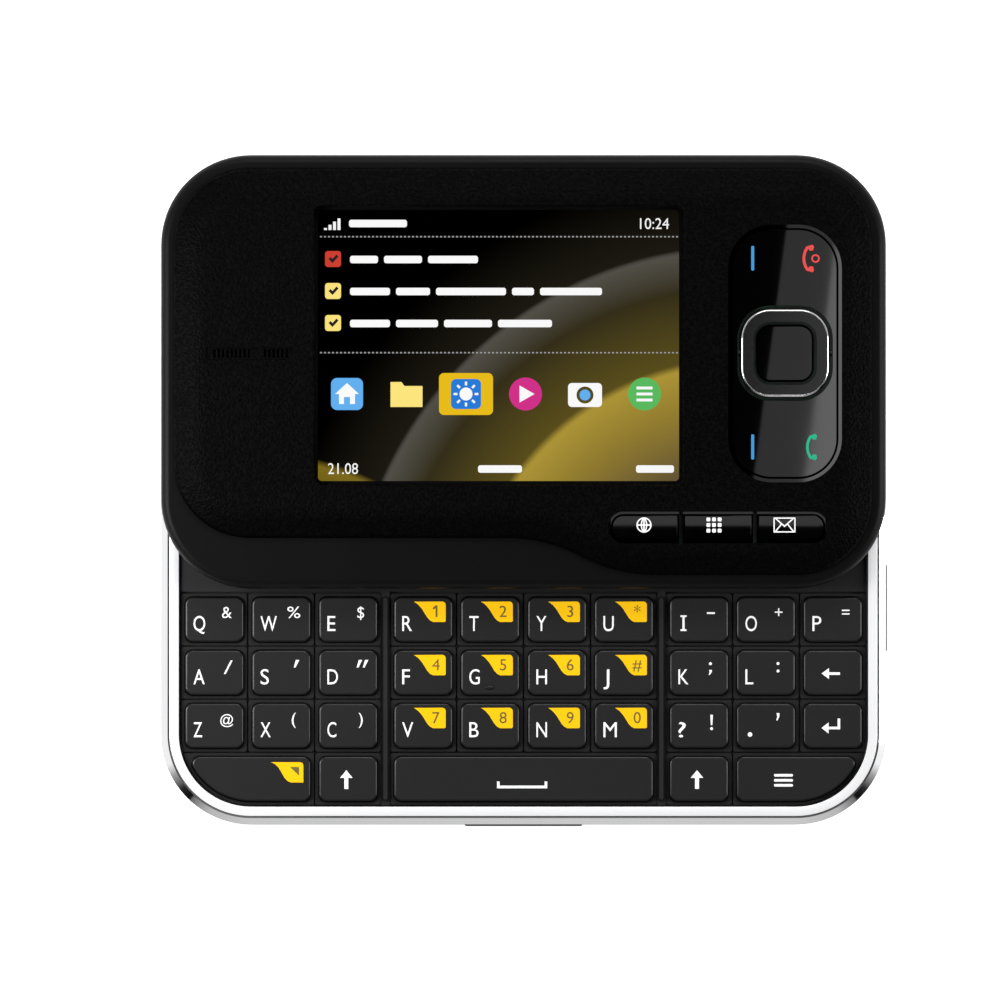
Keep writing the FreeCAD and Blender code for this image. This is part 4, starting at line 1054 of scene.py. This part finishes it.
@dataclass
class LetterKeyboard:
    """The signs on the letter keys.

    Attributes:
        columns: Left edge of each cell, in photo pixels.
        rows: Top edge of each row of letters.
        top: Height of the key tops.
        ridge_top: Height of the ridges between the banks of keys.
        letter_place: Left end of a letter's base line from the cell's upper left corner, in pixels.
        letter_tall: Height of a letter, in millimetres.
        second_place: Middle of the second sign's base line from there, in pixels.
        second_tall: Its height, in millimetres.
        digit_place: Middle of the base line of a digit on a patch from there, in pixels.
        digit_tall: Its height, in millimetres.
        keys: Name, main letter and second sign of each key that has them, by row.
        patched: Columns whose second sign lies on a yellow patch.
        strokes: Outlines, within a cell, of the signs that no typeface gives right.
        widths: Width of each letter, in millimetres.
        second_sizes: Width and height of some second signs, in millimetres.
    """

    columns: tuple[float, ...] = (180.5, 247.5, 314.4, 389.2, 456.3, 523.4, 590.4, 665.4, 732.4, 799.4)
    rows: tuple[float, ...] = (593.0, 646.3, 699.2)
    top: float = 8.9
    ridge_top: float = 8.65
    letter_place: Point = (13.0, 38.0)
    letter_tall: float = 2.15
    second_place: Point = (46.3, 25.0)
    second_tall: float = 1.62
    digit_place: Point = (46.8, 24.0)
    digit_tall: float = 1.6
    keys: tuple[tuple[tuple[str, str, str], ...], ...] = (
        (
            ("q", "Q", "&"), ("w", "W", "%"), ("e", "E", "$"), ("r", "R", "1"), ("t", "T", "2"),
            ("y", "Y", "3"), ("u", "U", "*"), ("i", "I", "-"), ("o", "O", "+"), ("p", "P", "="),
        ),
        (
            ("a", "A", "/"), ("s", "S", "'"), ("d", "D", "\""), ("f", "F", "4"), ("g", "G", "5"),
            ("h", "H", "6"), ("j", "J", "#"), ("k", "K", ";"), ("l", "L", ":"),
        ),
        (
            ("z", "Z", "@"), ("x", "X", "("), ("c", "C", ")"), ("v", "V", "7"), ("b", "B", "8"),
            ("n", "N", "9"), ("m", "M", "0"), ("question", "?", "!"), ("period", ".", ","),
        ),
    )
    patched: range = field(default_factory=lambda: range(3, 7))
    strokes: dict[str, tuple[Outline, ...]] = field(
        default_factory=lambda: {
            "'": ([(48.4, 13.6), (51.8, 13.6), (48.0, 21.2), (46.2, 21.2)],),
            "\"": (
                [(44.4, 13.6), (47.8, 13.6), (44.0, 21.2), (42.2, 21.2)],
                [(50.6, 13.6), (54.0, 13.6), (50.2, 21.2), (48.4, 21.2)],
            ),
            ".": (Shapes.disc(17.6, 35.3, 2.3),),
            ",": ([(44.1, 13.9), (47.1, 13.9), (46.9, 17.5), (45.2, 21.2), (43.8, 21.2), (44.9, 17.5)],),
            ":": (Shapes.disc(45.6, 17.2, 1.5), Shapes.disc(45.6, 24.7, 1.5)),
            ";": (
                Shapes.disc(45.0, 17.4, 1.5),
                [(43.7, 23.6), (46.6, 23.6), (46.3, 26.0), (44.4, 28.6), (43.2, 28.6), (44.2, 26.0)],
            ),
            "!": (Shapes.disc(46.2, 29.4, 1.5), [(44.9, 15.6), (47.5, 15.6), (47.0, 25.8), (45.4, 25.8)]),
            "-": ([(41.5, 19.2), (49.5, 19.2), (49.5, 21.0), (41.5, 21.0)],),
            "/": ([(50.2, 14.2), (52.1, 14.2), (45.2, 27.7), (43.3, 27.7)],),
            "I": (
                [
                    (15.1, 22.3), (21.1, 22.3), (21.1, 24.1), (19.2, 24.1), (19.2, 36.2), (21.1, 36.2),
                    (21.1, 38.0), (15.1, 38.0), (15.1, 36.2), (17.0, 36.2), (17.0, 24.1), (15.1, 24.1),
                ],
            ),
            "1": (
                [
                    (46.6, 12.3), (48.2, 12.3), (48.2, 24.0), (46.4, 24.0), (46.4, 15.0), (44.1, 16.5),
                    (43.3, 15.1),
                ],
            ),
        }
    )
    widths: dict[str, float] = field(
        default_factory=lambda: {
            "Q": 1.58, "W": 2.2, "E": 1.08, "R": 1.3, "T": 1.25, "Y": 1.35, "U": 1.4, "O": 1.55, "P": 1.2,
            "A": 1.5, "S": 1.13, "D": 1.42, "F": 1.03, "G": 1.4, "H": 1.42, "J": 0.8, "K": 1.34, "L": 1.06,
            "Z": 1.15, "X": 1.36, "C": 1.2, "V": 1.48, "B": 1.25, "N": 1.42, "M": 1.8, "?": 1.0,
        }
    )
    second_sizes: dict[str, Point] = field(
        default_factory=lambda: {
            "&": (1.3, 1.62), "%": (1.75, 1.62), "$": (0.92, 1.62), "@": (1.75, 1.36),
        }
    )

    def build(self) -> None:
        """Prints every key."""
        for top, names in zip(self.rows, self.keys):
            for column, (left, (key, letter, second)) in enumerate(zip(self.columns, names)):
                self.print_key(f"key_{key}", letter, second, (left, top), column in self.patched)
        self.print_arrows()
        self.paint_ridge_edge_shade()
        self.print_bottom_row()
        self.bump()
        LOG.info("printed the letter keys")

    def print_key(self, node: str, letter: str, second: str, cell: Point, patched: bool) -> None:
        """Prints one key with a letter and a second sign.

        Args:
            node: The key.
            letter: Its main letter.
            second: Its second sign or digit.
            cell: Upper left corner of its cell, in photo pixels.
            patched: Whether the second sign lies on a yellow patch.
        """
        wide = self.widths.get(letter, 0.0)
        pieces = [self.character(letter, cell, self.letter_place, self.top, self.letter_tall, wide)]
        if patched:
            self.patch(node, cell)
            height = self.top + PRINT_THICKNESS
            digit = self.character(second, cell, self.digit_place, height, self.digit_tall, middle=True)
            Tools.settle(digit, f"{node}_digit", PATCH_SIGN, node)
        else:
            wide, tall = self.second_sizes.get(second, (0.0, self.second_tall))
            pieces.append(self.character(second, cell, self.second_place, self.top, tall, wide, True))
        Tools.settle(Tools.join(pieces), f"{node}_sign", LEGEND_PAINTED_GLOW, node)

    def character(
        self, sign: str, cell: Point, place: Point, height: float, tall: float, wide: float = 0.0,
        middle: bool = False,
    ) -> bpy.types.Object:
        """A character from its own outlines where it has them, or else from the typeface.

        Args:
            sign: The character.
            cell: Upper left corner of the key's cell, in photo pixels.
            place: Left end or middle of its base line from there, in pixels.
            height: Height of the face below it, in millimetres.
            tall: Height of a capital letter.
            wide: Width in millimetres, or 0 for the typeface's own.
            middle: Whether the place is the middle.

        Returns:
            The mesh, in millimetres.
        """
        if sign in self.strokes:
            return Tools.plate([Shapes.moved(part, *cell) for part in self.strokes[sign]], height)
        x, base = photo_point(cell[0] + place[0], cell[1] + place[1])
        return Tools.letter(sign, x, base, height, tall, wide, middle)

    def patch(self, node: str, cell: Point) -> None:
        """The yellow patch in a key's upper right corner, with its lower left side swept up.

        Args:
            node: The key.
            cell: Upper left corner of its cell, in photo pixels.
        """
        outline = [
            (24.6, 8.7), *Shapes.arc(53.0, 12.0, 3.5, -90, 0, 5), (56.5, 28.0), (55.5, 29.0), (44.0, 29.0),
            (41.0, 27.6), (38.2, 24.6), (35.6, 20.4), (33.0, 16.2), (29.6, 12.2), (26.6, 9.8),
        ]
        Tools.sign(f"{node}_patch", [Shapes.moved(outline, *cell)], self.top, YELLOW_PAINTED_GLOW, node)

    def print_arrows(self) -> None:
        """Prints the arrows on the erase, enter and two shift keys."""
        erase = [
            (821.5, 673.5), (829.0, 668.0), (829.0, 672.3), (840.0, 672.3), (840.0, 674.9), (829.0, 674.9),
            (829.0, 679.0),
        ]
        enter = [
            (821.5, 728.0), (828.6, 722.4), (828.6, 726.7), (837.6, 726.7), (837.6, 718.5), (840.2, 718.5),
            (840.2, 729.3), (828.6, 729.3), (828.6, 733.6),
        ]
        shift = [(0, -9.5), (6.3, -1.8), (2.0, -1.8), (2.0, 9.2), (-2.0, 9.2), (-2.0, -1.8), (-6.3, -1.8)]
        for key, outline in (
            ("erase", erase),
            ("enter", enter),
            ("shift_left", Shapes.moved(shift, 346.3, 779.7)),
            ("shift_right", Shapes.moved(shift, 697.0, 779.7)),
        ):
            Tools.sign(f"key_{key}_sign", [outline], self.top, LEGEND_PAINTED_GLOW, f"key_{key}")

    def print_bottom_row(self) -> None:
        """Prints the space bracket, the yellow function patch and the three bars of the options key."""
        bracket = [
            (497.0, 781.5), (499.6, 781.5), (499.6, 785.6), (544.6, 785.6), (544.6, 781.5), (547.2, 781.5),
            (547.2, 788.3), (497.0, 788.3),
        ]
        Tools.sign("key_space_sign", [bracket], self.top, LEGEND_PAINTED_GLOW, "key_space")
        patch = [
            (270.8, 762.2), *Shapes.arc(299.9, 765.7, 3.5, -90, 0, 5), (303.4, 782.5), (291.0, 782.5),
            (287.5, 781.0), (284.4, 777.6), (281.8, 773.0), (278.6, 767.6), (275.0, 764.0),
        ]
        Tools.sign("key_function_patch", [patch], self.top, YELLOW_PAINTED_GLOW, "key_function")
        arrow = [(290.0, 767.0), (299.0, 767.0), (299.0, 775.5)]
        Tools.sign("key_function_sign", [arrow], self.top + PRINT_THICKNESS, PATCH_SIGN, "key_function")
        bars = [Shapes.box(774.0, y, 793.0, y + 2.6, 1.2) for y in (774.0, 779.0, 784.0)]
        Tools.sign("key_options_sign", bars, self.top, LEGEND_PAINTED_GLOW, "key_options")

    def paint_ridge_edge_shade(self) -> None:
        """Painted shade: a dark line round the edge of each ridge between the banks of keys."""
        for side, left, right in (("left", 381.6, 388.8), ("right", 657.7, 664.9)):
            outer = Shapes.box(left, 596.5, right, 801.0, 3.4)
            inner = Shapes.box(left + 1.3, 597.8, right - 1.3, 799.7, 2.2)
            Tools.sign(f"deck_ridge_edge_shade_{side}", [outer, inner], self.ridge_top, RIDGE_EDGE_SHADE, "keyboard_deck")

    def bump(self) -> None:
        """The small raised bar that a finger finds on the middle key."""
        place = (*photo_point(489.8, 687.4), self.top)
        bpy.ops.mesh.primitive_uv_sphere_add(segments=24, ring_count=12, radius=1.0, location=place)
        bump = bpy.context.object
        bump.scale = (0.68, 0.3, 0.16)
        bpy.ops.object.shade_smooth()
        Tools.settle(bump, "key_g_bump", KEY, "key_g")


@dataclass
class FrontKeys:
    """Signs and trim on the glossy panel, the four-way ring and the three shortcut keys.

    Attributes:
        panel_top: Height of the panel's face, in millimetres as all of them.
        shortcut_top: Height of the shortcut keys' faces.
        ring_middle: Middle of the ring.
        ring_half: Half the ring's side.
        ring_corner: Radius of its corners.
        trim: Inset and height of each edge of the ring's bright line.
    """

    panel_top: float = 15.25
    shortcut_top: float = 15.2
    ring_middle: Point = (35.18, 18.36)
    ring_half: float = 5.975
    ring_corner: float = 4.0
    trim: tuple[Point, ...] = (
        (0.02, 15.16), (0.1, 15.34), (0.2, 15.44), (0.27, 15.465), (0.34, 15.455), (0.44, 15.4), (0.5, 15.3)
    )

    def build(self) -> None:
        """Makes all signs and the ring's trim."""
        self.panel_signs()
        self.ring_trim()
        self.shortcut_signs()
        LOG.info("made the front keys' signs")

    def panel_signs(self) -> None:
        """Two blue bars, a red handset with a ring and a green handset."""
        ends = ((246.0, 270.5), (434.5, 459.5))
        bars = [Shapes.box(751.2, top, 754.2, low, 1.0) for top, low in ends]
        green = [self.handset(816.5, 447.0, 1.0)]
        red = [self.handset(813.5, 258.5, 1.05)]
        red += [Shapes.disc(815.5, 258.5, radius) for radius in (4.3, 2.6)]
        for name, outlines, finish in (
            ("panel_blue_bars", bars, BLUE_SIGN_PAINTED_GLOW),
            ("panel_call_sign", green, GREEN_SIGN_PAINTED_GLOW),
            ("panel_end_sign", red, RED_SIGN_PAINTED_GLOW),
        ):
            Tools.sign(name, outlines, self.panel_top, finish, "keypad_plate")

    def handset(self, x: float, y: float, scale: float) -> Outline:
        """A telephone handset that stands upright with its back to the left.

        Args:
            x: Its right edge, in photo pixels.
            y: Its middle height.
            scale: Factor.

        Returns:
            The outline, in photo pixels.
        """
        back = [(a, b) for a, b in Shapes.arc(9.0, 0.0, 19.5, 222, 138, 14) if abs(b) < 12.6]
        front = Shapes.arc(9.0, 0.0, 16.8, 146, 214, 12)
        lower = [(-1.0, 13.2), (0.6, 11.2), (-0.4, 7.6), (-3.6, 7.4)]
        upper = [(a, -b) for a, b in lower[::-1]]
        outline = back + lower + front + upper
        return Shapes.moved(outline, x, y, scale)

    def ring_trim(self) -> None:
        """The bright line just inside the ring's outer edge."""
        half = (self.ring_half, self.ring_half)
        trim = Tools.band(half, self.ring_middle, self.ring_corner, list(self.trim))
        Tools.settle(trim, "navi_ring_trim", CHROME, "navi_ring")

    def shortcut_signs(self) -> None:
        """A globe, a grid of nine dots and an envelope."""
        globe = [
            [Shapes.disc(644.0, 525.0, radius) for radius in (7.6, 6.3)],
            [Shapes.box(643.3, 518.0, 644.7, 532.0)],
            [Shapes.box(637.0, 524.3, 651.0, 525.7)],
            [Shapes.stroke(655.0, 525.0, 13.6, 1.2, 149, 211)],
            [Shapes.stroke(633.0, 525.0, 13.6, 1.2, -31, 31)],
        ]
        columns, rows = (708.4, 714.0, 719.6), (519.4, 525.0, 530.6)
        dots = [Shapes.tile(x, y, 1.9, 1.9, 0.8) for x in columns for y in rows]
        envelope = [
            [Shapes.box(773.5, 517.5, 795.5, 532.5, 0.8), Shapes.box(774.7, 518.7, 794.3, 531.3)],
            [
                [
                    (774.5, 518.2), (776.2, 518.2), (784.5, 525.4), (792.8, 518.2), (794.5, 518.2),
                    (784.5, 527.2),
                ]
            ],
            [[(774.6, 531.6), (781.0, 523.6), (782.0, 524.4), (776.2, 531.6)]],
            [[(794.4, 531.6), (788.0, 523.6), (787.0, 524.4), (792.8, 531.6)]],
        ]
        for name, parts in (("web", globe), ("menu", [dots]), ("mail", envelope)):
            plates = [Tools.plate(part, self.shortcut_top) for part in parts]
            Tools.settle(Tools.join(plates), f"shortcut_{name}_sign", LEGEND_PAINTED_GLOW, f"shortcut_{name}")


@dataclass
class Display:
    """The lit picture under the window: a plain interface with no words.

    Attributes:
        left: Left edge of the picture, in photo pixels.
        right: Its right edge.
        top: Its top edge.
        bottom: Its bottom edge.
        picture_height: Height of the picture, in millimetres.
        layer: Height of one layer of signs over it.
        word_tall: Height of a bar that stands for a word, in pixels.
        digits_tall: Height of the digits, in pixels.
    """

    left: float = 318.0
    right: float = 679.0
    top: float = 210.0
    bottom: float = 481.0
    picture_height: float = 13.22
    layer: float = 0.06
    word_tall: float = 10.5
    digits_tall: float = 11.5

    def build(self) -> None:
        """Makes the picture and all its signs."""
        outline = Shapes.box(self.left, self.top, self.right, self.bottom, 4.0)
        height = self.picture_height - PRINT_THICKNESS
        Tools.sign("lit_picture", [outline], height, Wallpaper(), "display_module")
        self.status_row()
        self.text_rows()
        self.icon_row()
        self.bottom_row()
        LOG.info("made the picture")

    def show(self, name: str, outlines: list[Outline], colour: Lit, level: int = 1) -> None:
        """Adds flat signs of one colour to the picture.

        Args:
            name: The piece's name.
            outlines: Their outlines, in photo pixels.
            colour: Their colour.
            level: How many layers they lie above the picture.
        """
        height = self.picture_height + self.layer * level
        Tools.sign(f"lit_{name}", outlines, height, colour.finish(), "display_module")

    def words(self, left: float, middle: float, lengths: tuple[float, ...]) -> list[Outline]:
        """A line of bars that stands for a line of words.

        Args:
            left: Left edge, in photo pixels.
            middle: Middle height.
            lengths: Length of each bar.

        Returns:
            The bars' outlines.
        """
        high, low = middle - self.word_tall / 2, middle + self.word_tall / 2
        bars = []
        for length in lengths:
            bars.append(Shapes.box(left, high + 2.0, left + length, low - 1.0, 2.4))
            left += length + 6.0
        return bars

    def digits(self, name: str, text: str, left: float, base: float, wide: float) -> None:
        """Adds digits to the picture.

        Args:
            name: The piece's name.
            text: The digits.
            left: Left edge, in photo pixels.
            base: Base line.
            wide: Width of the whole.
        """
        x, y = photo_point(left, base)
        height = self.picture_height + self.layer
        letter = Tools.letter(text, x, y, height, self.digits_tall / PIXELS_PER_MM, wide / PIXELS_PER_MM)
        Tools.settle(letter, f"lit_{name}", Lit.WHITE.finish(), "display_module")

    def status_row(self) -> None:
        """Signal steps, a battery, a line of words and the hour, over a dotted line."""
        steps = [Shapes.box(324.0 + 4.5 * n, 228.0 - 3.2 * n, 327.0 + 4.5 * n, 230.0) for n in range(4)]
        self.show("signal_steps", steps, Lit.WHITE)
        self.show("status_words", self.words(349.0, 223.0, (58.0,)), Lit.WHITE)
        self.digits("hour", "10:24", 640.0, 229.0, 29.0)
        dots = []
        for y in (236.0, 352.0):
            dots += [Shapes.box(320.0 + 4.0 * n, y, 322.0 + 4.0 * n, y + 1.4) for n in range(90)]
        self.show("dotted_lines", dots, Lit.GREY)

    def text_rows(self) -> None:
        """Three lines of words, each after a small coloured mark."""
        rows = (
            (259.0, Lit.RED, (28.0, 38.0, 50.0)),
            (291.0, Lit.PALE_GOLD, (40.0, 34.0, 70.0, 22.0, 62.0)),
            (323.0, Lit.PALE_GOLD, (40.0, 42.0, 48.0, 54.0)),
        )
        for number, (middle, colour, lengths) in enumerate(rows, 1):
            self.show(f"row_{number}_words", self.words(350.0, middle, lengths), Lit.WHITE)
            self.show(f"row_{number}_mark", [Shapes.tile(333.0, middle, 8, 8, 3.0)], colour)
            tick = [(328.5, 0.0), (330.5, -2.0), (332.5, 0.0), (336.5, -4.5), (338.5, -2.5), (332.5, 4.0)]
            self.show(f"row_{number}_tick", [Shapes.moved(tick, 0.0, middle)], Lit.NIGHT, 2)

    def icon_row(self) -> None:
        """Six pictures in a row, the third picked out by an amber tile."""
        y = 394.0
        house, folder, sun, play, camera, bars = (347.0 + 59.5 * number for number in range(6))
        wall = [(12, 0), (8, 0), (8, 10), (3, 10), (3, 3)]
        walls = [(0, -11)] + wall + [(-a, b) for a, b in wall[::-1]]
        flap = [(-16, -12), (-5, -12), (-2, -8), (16, -8), (16, 13), (-16, 13)]
        ray = [(8.6, -1.1), (12.4, -1.1), (12.4, 1.1), (8.6, 1.1)]
        rays = [Shapes.moved(ray, sun, y, 1.0, 45.0 * number) for number in range(8)]
        arrow = Shapes.moved([(-6.0, -8.5), (9.0, 0.0), (-6.0, 8.5)], play, y)
        body = Shapes.tile(camera, y + 1, 17, 12, 4)
        for name, outlines, colour, level in (
            ("picked_tile", [Shapes.tile(sun, y, 27, 21, 5.0)], Lit.GOLD, 1),
            ("tiles_blue", [Shapes.tile(house, y, 16, 16, 6)], Lit.SKY, 2),
            ("house", [Shapes.moved(walls, house, y)], Lit.WHITE, 3),
            ("folder", [Shapes.moved(flap, folder, y)], Lit.PALE_GOLD, 2),
            ("tile_night", [Shapes.tile(sun, y, 15, 15, 5)], Lit.BLUE, 2),
            ("sun", [Shapes.disc(sun, y, 6.5)] + rays, Lit.WHITE, 3),
            ("disc_magenta", [Shapes.disc(play, y, 16.5)], Lit.MAGENTA, 2),
            ("arrow", [arrow], Lit.WHITE, 3),
            ("camera", [body, Shapes.disc(camera, y + 1, 8.5)], Lit.WHITE, 2),
            ("camera_eye", [Shapes.disc(camera, y + 1, 5.5)], Lit.SKY, 2),
            ("disc_green", [Shapes.disc(bars, y, 16.5)], Lit.GREEN, 2),
            ("bars", [Shapes.tile(bars, y + step, 8, 1.4) for step in (-6, 0, 6)], Lit.WHITE, 3),
        ):
            self.show(name, outlines, colour, level)

    def bottom_row(self) -> None:
        """A date in digits, the hour's bar and a word at each end."""
        self.digits("date", "21.08", 328.0, 474.0, 30.0)
        words = self.words(478.0, 468.5, (44.0,)) + self.words(636.0, 468.5, (38.0,))
        self.show("bottom_words", words, Lit.WHITE)


@dataclass
class BackDetails:
    """The camera's eye on the back.

    Attributes:
        eye: Its middle, in millimetres.
        depth: Height of its ring over the lowest point of the camera.
        ring: Radius of the ring, and of its wire.
    """

    eye: Point = (-36.5, -6.0)
    depth: float = 0.35
    ring: Point = (2.1, 0.22)

    def build(self) -> None:
        """Makes the bright ring round the camera's eye."""
        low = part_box("camera_module")[0][2] / MM
        bpy.ops.mesh.primitive_torus_add(
            location=(*self.eye, max(low, 0.0) + self.depth), major_radius=self.ring[0],
            minor_radius=self.ring[1], major_segments=48, minor_segments=12,
        )
        ring = bpy.context.object
        bpy.ops.object.shade_smooth()
        Tools.settle(ring, "camera_eye_ring", CHROME, "camera_module")
        LOG.info("made the camera's ring")


def main() -> None:
    """Builds the studio and the phone's looks in order."""
    logging.basicConfig(level=logging.INFO)
    Studio().build()
    Casing().build()
    BrightFrame().build()
    LetterKeyboard().build()
    FrontKeys().build()
    Display().build()
    BackDetails().build()


if __name__ == "__main__":
    main()
